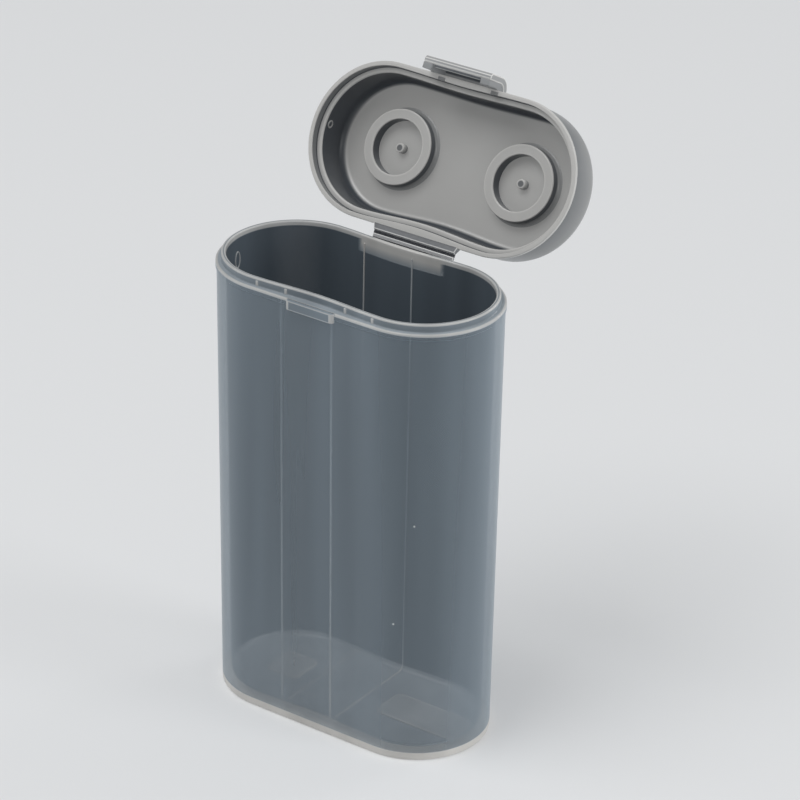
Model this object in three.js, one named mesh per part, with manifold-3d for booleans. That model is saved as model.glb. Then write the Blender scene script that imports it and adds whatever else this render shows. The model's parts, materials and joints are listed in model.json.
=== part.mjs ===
// A flip-top case for two 18650 cells, moulded in one shot of natural polypropylene.
// The case is a tall cup with round ends. Its lid hangs on a double living hinge and stands
// open here, leaning back. Every zone of the moulding is a mesh of its own.
//
// Units are millimetres. +Z is up, X runs through the two cells and the front faces -Y.
// The origin is the middle of the case's base. The lid is modelled as if it were shut,
// in its own frame: origin in the middle of its rim plane, +Z towards its top.

import * as THREE from 'three';
import { mergeVertices } from 'three/addons/utils/BufferGeometryUtils.js';
import Module from 'manifold-3d';

const wasm = await Module();
wasm.setup();

// Shared plan: two round ends, one for each cell, with straight long sides between them.
// Inside, the long sides draw in a little towards the middle.
const END_SPACING = 21.5;
const END_STEPS = 18;
const BORE_PINCH = 0.5;
const SIDE_STEPS = 10;

// Case
const LEDGE_HEIGHT = 67.2;
const CASE_BASE_RADIUS = 10.65;
const CASE_FLARE = 0.5;
const CASE_WALL = 1.3;
const FLOOR_THICKNESS = 1.2;
const BASE_EDGE_RADIUS = 0.4;
const FLOOR_FILLET = 0.6;
const RIDGE_WIDTH = 0.3;
const RIDGE_HEIGHT = 0.15;
const RIDGE_ROOT = 0.3;
const RIDGE_LEFT_X = -6.2;
const RIDGE_RIGHT_X = 2.15;
const PAD_THICKNESS = 0.2;
const PAD_CORNER = 1.2;
const PAD_DEPTH = 6.2;
const PAD_LEFT_LENGTH = 5.6;
const PAD_LEFT_INSET = 5.4;
const PAD_RIGHT_LENGTH = 13.4;
const PAD_RIGHT_INSET = 0.5;

// Rim of the case: a beaded ledge, and the lip that stands on it
const RIM_HEIGHT = 1.3;
const BEAD_HEIGHT = 1;
const BEAD_PROUD = 0.15;
const BEAD_EDGE = 0.2;
const LIP_HEIGHT = 1.15;
const LIP_WALL = 0.65;
const LIP_EDGE = 0.15;
const RIB_WIDTH = 0.5;
const RIB_HEIGHT = 0.8;
const RIB_PROUD = 0.08;
const RIB_ROOT = 0.3;
const RIB_INNER_X = 5;
const RIB_OUTER_X = 9.7;

// Catch bar and hinge flanges, let into flat pockets in the rims
const POCKET_DEPTH = 0.35;
const BAR_WIDTH = 8;
const BAR_PROUD = 0.5;
const BAR_CORNER = 0.7;
const HINGE_WIDTH = 13.66;
const FLANGE_EDGE_BAND = 0.36;
const FLANGE_TAPER = 0.7;
const FLANGE_CHAMFER = 0.2;
const FLANGE_SETBACK = 0.32;
const LID_FLANGE_HEIGHT = 1.1;

// Double living hinge: two thin films with a stiff strip between them
const FOLD_STANDOFF = 1.1;
const STRIP_LENGTH = 1;
const STRIP_THICKNESS = 0.5;
const FILM_THICKNESS = 0.3;
const FILM_LENGTH = 0.56;
const STRIP_BEVEL = 0.13;

// Lid
const LID_DEPTH = 8;
const LID_TOP_THICKNESS = 1.05;
const LID_EDGE_RADIUS = 3.1;
const LID_FILLET = 2;
const LID_WALL_SET_IN = 0.25;
const LID_DRAFT = 0.05;
const LID_BEAD_HEIGHT = 0.6;
const LID_BEAD_EDGE = 0.12;
const REBATE_SPARE = 0.15;
const REBATE_ROOF = 0.1;
const COLLAR_SHIFT = 0.4;
const COLLAR_RADIUS = 5.5;
const COLLAR_BORE = 4.3;
const COLLAR_HEIGHT = 1.85;
const COLLAR_EDGE = 0.2;
const PIP_RADIUS = 0.7;
const PIP_HEIGHT = 1.1;

// Latch: a hood on the front of the lid that drops over the catch bar
const HOOD_WIDTH = 11.25;
const HOOD_PROUD = 1.95;
const HOOD_RISE = 2.8;
const HOOD_DROP = 2.5;
const HOOD_WALL = 0.95;
const HOOD_SHOULDER = 2.2;
const HOOD_LEAD = 0.35;
const HOOK_HEIGHT = 0.7;
const HOOK_FOOT = 0.2;

// Clearances
const RIM_CLEARANCE = 0.12;
const LIP_CLEARANCE = 0.15;
const SEAT_GAP = 0.05;
const MOVING_GAP = 0.3;
const BAR_SIDE_CLEARANCE = 0.1;
const HOOK_CLEARANCE = 0.1;
const OVERRUN = 1;

// Pose
const STRIP_LEAN = THREE.MathUtils.degToRad(28);
const LID_OPENING = THREE.MathUtils.degToRad(119.3);

// Round edges and arcs in outlines
const EDGE_STEPS = 3;
const SHOULDER_STEPS = 6;
const ROUND_STEPS = 32;

// Radii that follow from the case
const caseTopRadius = CASE_BASE_RADIUS + CASE_FLARE;
const caseTopBore = caseTopRadius - CASE_WALL;
const beadRadius = caseTopRadius + BEAD_PROUD;
const lipRadius = caseTopBore + LIP_WALL;
const rimBottom = LEDGE_HEIGHT - RIM_HEIGHT;
const beadBottom = LEDGE_HEIGHT - BEAD_HEIGHT;

// Radii and heights that follow from the lid, in the lid's own frame
const lidRadius = beadRadius - LID_WALL_SET_IN;
const lidShoulderRadius = lidRadius - LID_DRAFT;
const lidShoulderBore = caseTopBore - LID_DRAFT;
const rebateRadius = lipRadius + LIP_CLEARANCE;
const rebateDepth = LIP_HEIGHT + REBATE_SPARE;
const lidRimTop = rebateDepth + REBATE_ROOF;
const crownBottom = LID_DEPTH - LID_EDGE_RADIUS;
const lidCeiling = LID_DEPTH - LID_TOP_THICKNESS;

// Places of the two fold lines: the lower one is fixed, the upper one rides on the strip
const hingeReach = beadRadius + FOLD_STANDOFF;
const lowerFold = {
  y: hingeReach,
  z: LEDGE_HEIGHT + (RIM_CLEARANCE - STRIP_LENGTH) / 2,
};
const upperFold = {
  y: lowerFold.y + STRIP_LENGTH * Math.sin(STRIP_LEAN),
  z: lowerFold.z + STRIP_LENGTH * Math.cos(STRIP_LEAN),
};
const foldRise = (STRIP_LENGTH - RIM_CLEARANCE) / 2;

const materials = {
  case: frostedPlastic(0xe6e8e6),
  hinge: frostedPlastic(0xf0f1ef),
  lid: frostedPlastic(0xeaecea),
  latch: frostedPlastic(0xdfe2e0),
};

function frostedPlastic(color) {
  return new THREE.MeshStandardMaterial({ color, roughness: 0.45, metalness: 0 });
}

// How far a long side with a given pinch is drawn in at a distance x from the middle
function drawnIn(pinch, x) {
  return (pinch / 2) * (1 + Math.cos((2 * Math.PI * x) / END_SPACING));
}

// The outline whose round ends have a given radius, counter-clockwise from above
function outline(radius, pinch) {
  const points = [];
  for (const side of [1, -1]) {
    const centre = (side * END_SPACING) / 2;
    for (let step = 0; step <= END_STEPS; step++) {
      const angle = side * Math.PI * (step / END_STEPS - 0.5);
      const turn = side > 0 ? angle : Math.PI - angle;
      points.push([centre + radius * Math.cos(turn), radius * Math.sin(turn)]);
    }
    for (let step = 1; step < SIDE_STEPS; step++) {
      const x = centre * (1 - (2 * step) / SIDE_STEPS);
      points.push([x, side * (radius - drawnIn(pinch, x))]);
    }
  }
  return points;
}

// Gives every level of a path the pinch of the moulding's inside
function inside(path) {
  return path.map(([radius, z]) => [radius, z, BORE_PINCH]);
}

// Skins a path of [radius, height, pinch] levels; a level without a pinch is straight.
// A closed path makes a ring; an open one is capped flat at both ends.
function skin(path, closed) {
  const rings = path.map(([radius, z, pinch = 0]) => outline(radius, pinch).map(([x, y]) => [x, y, z]));
  const count = rings[0].length;
  const positions = rings.flat(2);
  const index = [];
  const bands = closed ? rings.length : rings.length - 1;
  for (let band = 0; band < bands; band++) {
    const low = band * count;
    const high = ((band + 1) % rings.length) * count;
    for (let k = 0; k < count; k++) {
      const next = (k + 1) % count;
      index.push(low + k, low + next, high + next);
      index.push(low + k, high + next, high + k);
    }
  }
  if (!closed) {
    const first = positions.length / 3;
    const last = first + 1;
    positions.push(0, 0, path[0][1]);
    positions.push(0, 0, path.at(-1)[1]);
    const top = (rings.length - 1) * count;
    for (let k = 0; k < count; k++) {
      const next = (k + 1) % count;
      index.push(first, next, k);
      index.push(last, top + k, top + next);
    }
  }
  const geometry = new THREE.BufferGeometry();
  geometry.setAttribute('position', new THREE.Float32BufferAttribute(positions, 3));
  geometry.setIndex(index);
  return geometry;
}

// Points of a quarter circle, as [across, up] pairs, between two angles in quarter turns
function arc(across, up, radius, fromQuarter, toQuarter, steps) {
  const points = [];
  for (let step = 0; step <= steps; step++) {
    const angle = (Math.PI / 2) * (fromQuarter + ((toQuarter - fromQuarter) * step) / steps);
    points.push([across + radius * Math.cos(angle), up + radius * Math.sin(angle)]);
  }
  return points;
}

// A profile in Y and Z, run along X and centred on the middle plane
function bar(profile, width, centreX = 0) {
  const shape = new THREE.Shape(profile.map(([y, z]) => new THREE.Vector2(y, z)));
  const geometry = new THREE.ExtrudeGeometry(shape, { depth: width, bevelEnabled: false });
  geometry.translate(0, 0, centreX - width / 2);
  const axes = new THREE.Matrix4().makeBasis(
    new THREE.Vector3(0, 1, 0),
    new THREE.Vector3(0, 0, 1),
    new THREE.Vector3(1, 0, 0),
  );
  return geometry.applyMatrix4(axes);
}

// A block between two corners
function block([x0, y0, z0], [x1, y1, z1]) {
  const geometry = new THREE.BoxGeometry(x1 - x0, y1 - y0, z1 - z0);
  return geometry.translate((x0 + x1) / 2, (y0 + y1) / 2, (z0 + z1) / 2);
}

// A rectangle with round corners in plan, raised from one height to another
function slab(width, depth, corner, bottom, top) {
  const halfWidth = width / 2 - corner;
  const halfDepth = depth / 2 - corner;
  const shape = new THREE.Shape();
  shape.absarc(halfWidth, -halfDepth, corner, -Math.PI / 2, 0);
  shape.absarc(halfWidth, halfDepth, corner, 0, Math.PI / 2);
  shape.absarc(-halfWidth, halfDepth, corner, Math.PI / 2, Math.PI);
  shape.absarc(-halfWidth, -halfDepth, corner, Math.PI, 1.5 * Math.PI);
  const options = { depth: top - bottom, bevelEnabled: false, curveSegments: EDGE_STEPS };
  return new THREE.ExtrudeGeometry(shape, options).translate(0, 0, bottom);
}

// A turned solid about Z, from a closed [radius, height] profile
function turned(profile) {
  const points = profile.map(([radius, z]) => new THREE.Vector2(radius, z));
  return new THREE.LatheGeometry(points, ROUND_STEPS).rotateX(Math.PI / 2);
}

function toSolid(geometry) {
  const bare = geometry.clone();
  bare.deleteAttribute('normal');
  bare.deleteAttribute('uv');
  const merged = mergeVertices(bare);
  const vertProperties = Float32Array.from(merged.attributes.position.array);
  const triVerts = Uint32Array.from(merged.index.array);
  return new wasm.Manifold(new wasm.Mesh({ numProp: 3, vertProperties, triVerts }));
}

function toGeometry(solid) {
  const { vertProperties, triVerts } = solid.getMesh();
  const geometry = new THREE.BufferGeometry();
  geometry.setAttribute('position', new THREE.Float32BufferAttribute(vertProperties, 3));
  geometry.setIndex(Array.from(triVerts));
  return geometry;
}

function cut(geometry, cutters) {
  const solids = cutters.map(toSolid);
  return toGeometry(solids.reduce((left, cutter) => left.subtract(cutter), toSolid(geometry)));
}

function joined(geometries) {
  const [first, ...rest] = geometries.map(toSolid);
  return toGeometry(rest.reduce((whole, solid) => whole.add(solid), first));
}

function piece(name, geometry, material) {
  const mesh = new THREE.Mesh(geometry, material);
  geometry.computeVertexNormals();
  mesh.name = name;
  return mesh;
}

// Case wall radius and bore at a height: both lean out evenly from the base to the rim
function caseRadiusAt(z) {
  return CASE_BASE_RADIUS + (CASE_FLARE * z) / LEDGE_HEIGHT;
}

function caseBoreAt(z) {
  return caseRadiusAt(z) - CASE_WALL;
}

function caseFloor() {
  const inset = CASE_BASE_RADIUS - BASE_EDGE_RADIUS;
  const edge = arc(inset, BASE_EDGE_RADIUS, BASE_EDGE_RADIUS, -1, 0, EDGE_STEPS);
  const path = [...edge, [caseRadiusAt(FLOOR_THICKNESS), FLOOR_THICKNESS]];
  return skin(path, false);
}

// The wall's bore, round into the floor at its foot, taken from the floor up to a height
function borePath(top, inset, floor) {
  const filletTop = floor + FLOOR_FILLET;
  const foot = caseBoreAt(filletTop) - inset - FLOOR_FILLET;
  const fillet = arc(foot, filletTop, FLOOR_FILLET, -1, 0, EDGE_STEPS);
  return inside([...fillet, [caseBoreAt(top) - inset, top]]);
}

// A low ridge runs down the front of the bore, over the floor and up the back. It is
// rooted in the wall.
function boreRidge(x) {
  const outer = toSolid(skin(borePath(rimBottom, -RIDGE_ROOT, FLOOR_THICKNESS), false));
  const innerFloor = FLOOR_THICKNESS + RIDGE_HEIGHT;
  const inner = toSolid(skin(borePath(rimBottom + OVERRUN, RIDGE_HEIGHT, innerFloor), false));
  const reach = caseTopRadius;
  const low = [x - RIDGE_WIDTH / 2, -reach, FLOOR_THICKNESS];
  const high = [x + RIDGE_WIDTH / 2, reach, rimBottom];
  return toGeometry(outer.subtract(inner).intersect(toSolid(block(low, high))));
}

function caseWall() {
  const outside = [
    [caseRadiusAt(FLOOR_THICKNESS), FLOOR_THICKNESS],
    [caseRadiusAt(rimBottom), rimBottom],
  ];
  const bore = borePath(rimBottom, 0, FLOOR_THICKNESS).reverse();
  const wall = skin([...outside, ...bore], true);
  return joined([wall, boreRidge(RIDGE_LEFT_X), boreRidge(RIDGE_RIGHT_X)]);
}

// A plain low pad on the floor under one cell, set in from the end of the bore's foot
function floorPad(side, length, inset) {
  const top = FLOOR_THICKNESS + PAD_THICKNESS;
  const footRadius = caseBoreAt(FLOOR_THICKNESS + FLOOR_FILLET) - FLOOR_FILLET;
  const x = side * (END_SPACING / 2 + footRadius - inset - length / 2);
  return slab(length, PAD_DEPTH, PAD_CORNER, FLOOR_THICKNESS, top).translate(x, 0, 0);
}

// The case rim's flat pockets: the catch bar at the front and the hinge flange at the back
const frontPocketY = -(beadRadius - POCKET_DEPTH);
const backPocketY = -frontPocketY;

function caseRim() {
  const beadTop = arc(beadRadius - BEAD_EDGE, LEDGE_HEIGHT - BEAD_EDGE, BEAD_EDGE, 0, 1, EDGE_STEPS);
  const ring = skin(
    [
      [caseRadiusAt(rimBottom), rimBottom],
      [caseRadiusAt(beadBottom), beadBottom],
      [beadRadius, beadBottom + BEAD_PROUD],
      ...beadTop,
      ...inside([[caseTopBore, LEDGE_HEIGHT], [caseBoreAt(rimBottom), rimBottom]]),
    ],
    true,
  );
  const bottom = rimBottom - OVERRUN;
  const top = LEDGE_HEIGHT + OVERRUN;
  return cut(ring, [
    block([-BAR_WIDTH / 2, frontPocketY - beadRadius, bottom], [BAR_WIDTH / 2, frontPocketY, top]),
    block([-HINGE_WIDTH / 2, backPocketY, bottom], [HINGE_WIDTH / 2, backPocketY + beadRadius, top]),
  ]);
}

const ribPlaces = {
  lip_rib_far_left: -RIB_OUTER_X,
  lip_rib_left: -RIB_INNER_X,
  lip_rib_right: RIB_INNER_X,
  lip_rib_far_right: RIB_OUTER_X,
};

function ribBlock(x, proud) {
  const face = drawnIn(BORE_PINCH, x) - lipRadius;
  const low = [x - RIB_WIDTH / 2, face - proud, LEDGE_HEIGHT];
  const high = [x + RIB_WIDTH / 2, face + RIB_ROOT, LEDGE_HEIGHT + RIB_HEIGHT];
  return block(low, high);
}

function caseLip() {
  const lipTop = LEDGE_HEIGHT + LIP_HEIGHT;
  const path = [
    [lipRadius, LEDGE_HEIGHT],
    ...arc(lipRadius - LIP_EDGE, lipTop - LIP_EDGE, LIP_EDGE, 0, 1, EDGE_STEPS),
    ...arc(caseTopBore + LIP_EDGE, lipTop - LIP_EDGE, LIP_EDGE, 1, 2, EDGE_STEPS),
    [caseTopBore, LEDGE_HEIGHT],
  ];
  const ring = skin(inside(path), true);
  return cut(ring, Object.values(ribPlaces).map((x) => ribBlock(x, OVERRUN)));
}

const barFrontY = -beadRadius - BAR_PROUD;

// The catch bar fills its pocket and stands proud of the bead, with round front corners
function catchBar() {
  const depth = 2 * (frontPocketY - barFrontY);
  const whole = slab(BAR_WIDTH, depth, BAR_CORNER, rimBottom, LEDGE_HEIGHT);
  whole.translate(0, frontPocketY, 0);
  const far = [BAR_WIDTH, frontPocketY + depth, LEDGE_HEIGHT + OVERRUN];
  return cut(whole, [block([-BAR_WIDTH, frontPocketY, rimBottom - OVERRUN], far)]);
}

// Each flange ends in a narrow band that a film grows from, just short of its fold line
const flangeEdgeY = hingeReach - FLANGE_SETBACK;

function caseFlange() {
  const bandBottom = lowerFold.z - FLANGE_EDGE_BAND / 2;
  const bandTop = lowerFold.z + FLANGE_EDGE_BAND / 2;
  const profile = [
    [backPocketY, rimBottom],
    [flangeEdgeY - FLANGE_TAPER, rimBottom],
    [flangeEdgeY, bandBottom],
    [flangeEdgeY, bandTop],
    [flangeEdgeY - FLANGE_CHAMFER, LEDGE_HEIGHT],
    [backPocketY, LEDGE_HEIGHT],
  ];
  return bar(profile, HINGE_WIDTH);
}

// A point of the strip, given along it from the lower fold and across it
function onStrip(along, across) {
  const sine = Math.sin(STRIP_LEAN);
  const cosine = Math.cos(STRIP_LEAN);
  return [
    lowerFold.y + along * sine + across * cosine,
    lowerFold.z + along * cosine - across * sine,
  ];
}

// A point of the lid given from the upper fold, as the lid stands open
function onOpenLid(y, z) {
  const sine = Math.sin(LID_OPENING);
  const cosine = Math.cos(LID_OPENING);
  return [upperFold.y + y * cosine + z * sine, upperFold.z - y * sine + z * cosine];
}

const stripStart = FILM_LENGTH / 2;
const stripEnd = STRIP_LENGTH - FILM_LENGTH / 2;
const filmHalf = FILM_THICKNESS / 2;

function hingeStrip() {
  const half = STRIP_THICKNESS / 2;
  const profile = [
    onStrip(stripStart, filmHalf),
    onStrip(stripStart + STRIP_BEVEL, half),
    onStrip(stripEnd - STRIP_BEVEL, half),
    onStrip(stripEnd, filmHalf),
    onStrip(stripEnd, -filmHalf),
    onStrip(stripEnd - STRIP_BEVEL, -half),
    onStrip(stripStart + STRIP_BEVEL, -half),
    onStrip(stripStart, -filmHalf),
  ];
  return bar(profile, HINGE_WIDTH);
}

function lowerFilm() {
  const profile = [
    [flangeEdgeY, lowerFold.z - filmHalf],
    onStrip(stripStart, filmHalf),
    onStrip(stripStart, -filmHalf),
    [flangeEdgeY, lowerFold.z + filmHalf],
  ];
  return bar(profile, HINGE_WIDTH);
}

function upperFilm() {
  const reach = flangeEdgeY - hingeReach + SEAT_GAP;
  const profile = [
    onStrip(stripEnd, filmHalf),
    onOpenLid(reach, filmHalf),
    onOpenLid(reach, -filmHalf),
    onStrip(stripEnd, -filmHalf),
  ];
  return bar(profile, HINGE_WIDTH);
}

// The lid flange is let into the lid's rim as the case flange is into the case's
function lidFlange() {
  const bandBottom = foldRise - FLANGE_EDGE_BAND / 2;
  const bandTop = foldRise + FLANGE_EDGE_BAND / 2;
  const root = backPocketY + SEAT_GAP;
  const profile = [
    [root, 0],
    [flangeEdgeY - FLANGE_CHAMFER, 0],
    [flangeEdgeY, bandBottom],
    [flangeEdgeY, bandTop],
    [flangeEdgeY - FLANGE_TAPER, LID_FLANGE_HEIGHT],
    [root, LID_FLANGE_HEIGHT],
  ];
  return bar(profile, HINGE_WIDTH);
}

function lidRim() {
  const outer = [
    ...arc(beadRadius - LID_BEAD_EDGE, LID_BEAD_EDGE, LID_BEAD_EDGE, -1, 0, EDGE_STEPS),
    [beadRadius, LID_BEAD_HEIGHT - LID_BEAD_EDGE],
    [lidRadius, LID_BEAD_HEIGHT],
    [lidRadius, lidRimTop],
  ];
  const inner = [
    [caseTopBore, lidRimTop],
    [caseTopBore, rebateDepth],
    [rebateRadius, rebateDepth],
    [rebateRadius, 0],
  ];
  const ring = skin([...outer, ...inside(inner)], true);
  const half = HINGE_WIDTH / 2 + SEAT_GAP;
  const top = LID_FLANGE_HEIGHT + SEAT_GAP;
  const far = [half, backPocketY + beadRadius, top];
  return cut(ring, [block([-half, backPocketY, -OVERRUN], far)]);
}

function lidSkirt() {
  const bottom = lidRimTop + SEAT_GAP;
  const outer = [[lidRadius, bottom], [lidShoulderRadius, crownBottom]];
  const inner = [[lidShoulderBore, crownBottom], [caseTopBore, bottom]];
  return skin([...outer, ...inside(inner)], true);
}

// The crown is the top of the lid with its round shoulder, hollow below. Its path runs
// from the ceiling down the bore and up the outside.
function lidCrown() {
  const bottom = crownBottom + SEAT_GAP;
  const round = LID_EDGE_RADIUS - SEAT_GAP;
  const centre = lidShoulderBore - LID_FILLET;
  const fillet = arc(centre, lidCeiling - LID_FILLET, LID_FILLET, 1, 0, EDGE_STEPS + 1);
  const shoulder = arc(lidShoulderRadius - round, bottom, round, 0, 1, SHOULDER_STEPS);
  return skin([...inside([...fillet, [lidShoulderBore, bottom]]), ...shoulder], false);
}

function collar() {
  const top = lidCeiling - SEAT_GAP;
  const bottom = top - COLLAR_HEIGHT;
  return turned([
    [COLLAR_BORE, top],
    [COLLAR_BORE, bottom + COLLAR_EDGE],
    [COLLAR_BORE + COLLAR_EDGE, bottom],
    [COLLAR_RADIUS - COLLAR_EDGE, bottom],
    [COLLAR_RADIUS, bottom + COLLAR_EDGE],
    [COLLAR_RADIUS, top],
    [COLLAR_BORE, top],
  ]);
}

function pip() {
  const top = lidCeiling - SEAT_GAP;
  const bottom = top - PIP_HEIGHT;
  return turned([
    [0, bottom],
    [PIP_RADIUS / 2, bottom],
    [PIP_RADIUS, bottom + PIP_RADIUS / 2],
    [PIP_RADIUS, top],
    [0, top],
  ]);
}

// Latch sizes, in the lid's frame
const hoodFrontY = -beadRadius - HOOD_PROUD;
const hoodBackY = hoodFrontY + HOOD_WALL;
const cheekInner = BAR_WIDTH / 2 + BAR_SIDE_CLEARANCE;
const cheekWidth = HOOD_WIDTH / 2 - cheekInner;

// Room that the hood leaves round the lid's wall and bead
function wallRoom() {
  const overBead = beadRadius + MOVING_GAP;
  const overWall = lidRadius + MOVING_GAP;
  return skin(
    [
      [overBead, -HOOD_DROP - OVERRUN],
      [overBead, LID_BEAD_HEIGHT + MOVING_GAP / 2],
      [overWall, LID_BEAD_HEIGHT + MOVING_GAP],
      [overWall, HOOD_RISE + OVERRUN],
    ],
    false,
  );
}

// The hood's wall: a plate with a round shoulder that turns back to the lid
function latchHood() {
  const shoulderY = hoodFrontY + HOOD_SHOULDER;
  const shoulderZ = HOOD_RISE - HOOD_SHOULDER;
  const inner = HOOD_SHOULDER - HOOD_WALL;
  const profile = [
    [hoodFrontY + HOOD_LEAD, -HOOD_DROP],
    [hoodBackY - HOOD_LEAD / 2, -HOOD_DROP],
    [hoodBackY, -HOOD_DROP + HOOD_LEAD / 2],
    ...arc(shoulderY, shoulderZ, inner, 2, 1, SHOULDER_STEPS),
    [0, HOOD_RISE - HOOD_WALL],
    [0, HOOD_RISE],
    ...arc(shoulderY, shoulderZ, HOOD_SHOULDER, 1, 2, SHOULDER_STEPS),
    [hoodFrontY, -HOOD_DROP + HOOD_LEAD],
  ];
  return cut(bar(profile, HOOD_WIDTH), [wallRoom()]);
}

function latchCheek(side) {
  const shoulderY = hoodFrontY + HOOD_SHOULDER;
  const shoulderZ = HOOD_RISE - HOOD_SHOULDER;
  const inner = HOOD_SHOULDER - HOOD_WALL - SEAT_GAP;
  const profile = [
    [hoodBackY + SEAT_GAP, -HOOD_DROP + HOOD_LEAD],
    [0, -HOOD_DROP + HOOD_LEAD],
    [0, HOOD_RISE - HOOD_WALL - SEAT_GAP],
    ...arc(shoulderY, shoulderZ, inner, 1, 2, SHOULDER_STEPS),
  ];
  const centre = side * (cheekInner + cheekWidth / 2);
  return cut(bar(profile, cheekWidth, centre), [wallRoom()]);
}

function latchHook() {
  const bottom = -HOOD_DROP + HOOK_FOOT;
  const tip = barFrontY - HOOK_CLEARANCE;
  const root = hoodBackY + SEAT_GAP;
  const profile = [
    [root, bottom],
    [tip, bottom + HOOK_HEIGHT / 2],
    [tip, bottom + HOOK_HEIGHT * 0.75],
    [root, bottom + HOOK_HEIGHT],
  ];
  return bar(profile, BAR_WIDTH);
}

const caseGroup = new THREE.Group();
caseGroup.add(
  piece('case_floor', caseFloor(), materials.case),
  piece('case_wall', caseWall(), materials.case),
  piece('case_rim', caseRim(), materials.case),
  piece('case_lip', caseLip(), materials.case),
  piece('catch_bar', catchBar(), materials.case),
  piece('floor_pad_left', floorPad(-1, PAD_LEFT_LENGTH, PAD_LEFT_INSET), materials.case),
  piece('floor_pad_right', floorPad(1, PAD_RIGHT_LENGTH, PAD_RIGHT_INSET), materials.case),
  piece('case_hinge_flange', caseFlange(), materials.hinge),
);
for (const [name, x] of Object.entries(ribPlaces)) {
  caseGroup.add(piece(name, ribBlock(x, RIB_PROUD), materials.case));
}

const hingeGroup = new THREE.Group();
hingeGroup.add(
  piece('hinge_film_lower', lowerFilm(), materials.hinge),
  piece('hinge_strip', hingeStrip(), materials.hinge),
  piece('hinge_film_upper', upperFilm(), materials.hinge),
);

const lidFrame = new THREE.Group();
lidFrame.position.set(0, -hingeReach, -foldRise);
lidFrame.add(
  piece('lid_hinge_flange', lidFlange(), materials.hinge),
  piece('lid_rim', lidRim(), materials.lid),
  piece('lid_skirt', lidSkirt(), materials.lid),
  piece('lid_crown', lidCrown(), materials.lid),
);
for (const [word, side] of [['left', -1], ['right', 1]]) {
  const ring = piece(`collar_${word}`, collar(), materials.lid);
  const stud = piece(`pip_${word}`, pip(), materials.lid);
  ring.position.x = side * (END_SPACING / 2 - COLLAR_SHIFT);
  stud.position.x = ring.position.x;
  lidFrame.add(ring, stud);
}

const latchGroup = new THREE.Group();
latchGroup.add(
  piece('latch_hood', latchHood(), materials.latch),
  piece('latch_cheek_left', latchCheek(-1), materials.latch),
  piece('latch_cheek_right', latchCheek(1), materials.latch),
  piece('latch_hook', latchHook(), materials.latch),
);
lidFrame.add(latchGroup);

const openLid = new THREE.Group();
openLid.position.set(0, upperFold.y, upperFold.z);
openLid.rotation.x = -LID_OPENING;
openLid.add(lidFrame);

const box = new THREE.Group();
box.add(caseGroup, hingeGroup, openLid);

export default box;
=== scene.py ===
# %% [markdown]
# # A frosted flip-top battery case
#
# The real object is one moulding of natural polypropylene, a milky plastic that lets light
# through. It is a tall cup with round ends for two round cells, with a shallow lid that hangs
# on a double living hinge and stands wide open.
#
# The imported CAD model is the fixed frame. Here each of its bodies gets a finer skin, so the
# shapes below repeat the CAD's sizes and add the soft edges, fillets and marks that a real
# moulding has. The whole frame is loaded first.

import json
import math

import bmesh
import bpy
from mathutils import Matrix, Vector
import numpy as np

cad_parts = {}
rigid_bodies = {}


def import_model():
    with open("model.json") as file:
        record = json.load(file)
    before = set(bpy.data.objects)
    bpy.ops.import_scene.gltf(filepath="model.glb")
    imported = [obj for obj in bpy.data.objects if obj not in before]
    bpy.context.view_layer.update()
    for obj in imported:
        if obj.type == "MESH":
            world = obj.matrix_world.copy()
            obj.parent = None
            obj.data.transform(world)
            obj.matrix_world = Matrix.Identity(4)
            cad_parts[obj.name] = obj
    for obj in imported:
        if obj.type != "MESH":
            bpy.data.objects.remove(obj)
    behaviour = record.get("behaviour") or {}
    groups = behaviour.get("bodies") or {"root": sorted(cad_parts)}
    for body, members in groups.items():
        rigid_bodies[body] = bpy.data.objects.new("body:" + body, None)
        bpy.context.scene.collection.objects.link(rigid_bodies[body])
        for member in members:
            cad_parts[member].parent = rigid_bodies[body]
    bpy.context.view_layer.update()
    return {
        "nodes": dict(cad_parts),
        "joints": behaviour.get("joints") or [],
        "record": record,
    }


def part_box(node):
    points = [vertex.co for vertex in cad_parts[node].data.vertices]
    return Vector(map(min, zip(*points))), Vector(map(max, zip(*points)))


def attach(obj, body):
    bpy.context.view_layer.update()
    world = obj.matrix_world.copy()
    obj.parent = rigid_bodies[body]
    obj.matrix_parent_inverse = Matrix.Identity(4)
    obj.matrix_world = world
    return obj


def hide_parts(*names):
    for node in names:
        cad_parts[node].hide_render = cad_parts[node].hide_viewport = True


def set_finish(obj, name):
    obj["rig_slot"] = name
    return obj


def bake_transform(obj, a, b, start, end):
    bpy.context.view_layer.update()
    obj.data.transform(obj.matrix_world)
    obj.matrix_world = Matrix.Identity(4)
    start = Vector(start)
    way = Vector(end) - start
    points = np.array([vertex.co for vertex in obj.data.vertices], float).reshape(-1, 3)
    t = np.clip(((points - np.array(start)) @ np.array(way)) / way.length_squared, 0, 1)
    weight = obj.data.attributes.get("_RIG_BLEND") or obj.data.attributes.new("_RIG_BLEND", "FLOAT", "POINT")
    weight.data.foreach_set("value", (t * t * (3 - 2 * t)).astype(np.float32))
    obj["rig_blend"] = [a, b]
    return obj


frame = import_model()

# %% [markdown]
# ## The camera
#
# A product photograph of a small thing is taken from a distance with a long lens, so
# upright lines stay nearly parallel. The camera's direction, distance and lens were found
# by matching the case's rim, base and ridge lines. It could track an empty, but three plain
# axis vectors keep the slight roll exact.

# %% Camera
MM = 0.001
CAMERA_AZIMUTH = math.radians(35.087)
CAMERA_ELEVATION = math.radians(27.158)
CAMERA_ROLL = math.radians(1.005)
CAMERA_LENS = 171.1
CAMERA_SENSOR = 36
CAMERA_DISTANCE = 536.3
TARGET_HEIGHT = 33.6
TARGET_ACROSS = 6.04
TARGET_UP = 13.2

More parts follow.
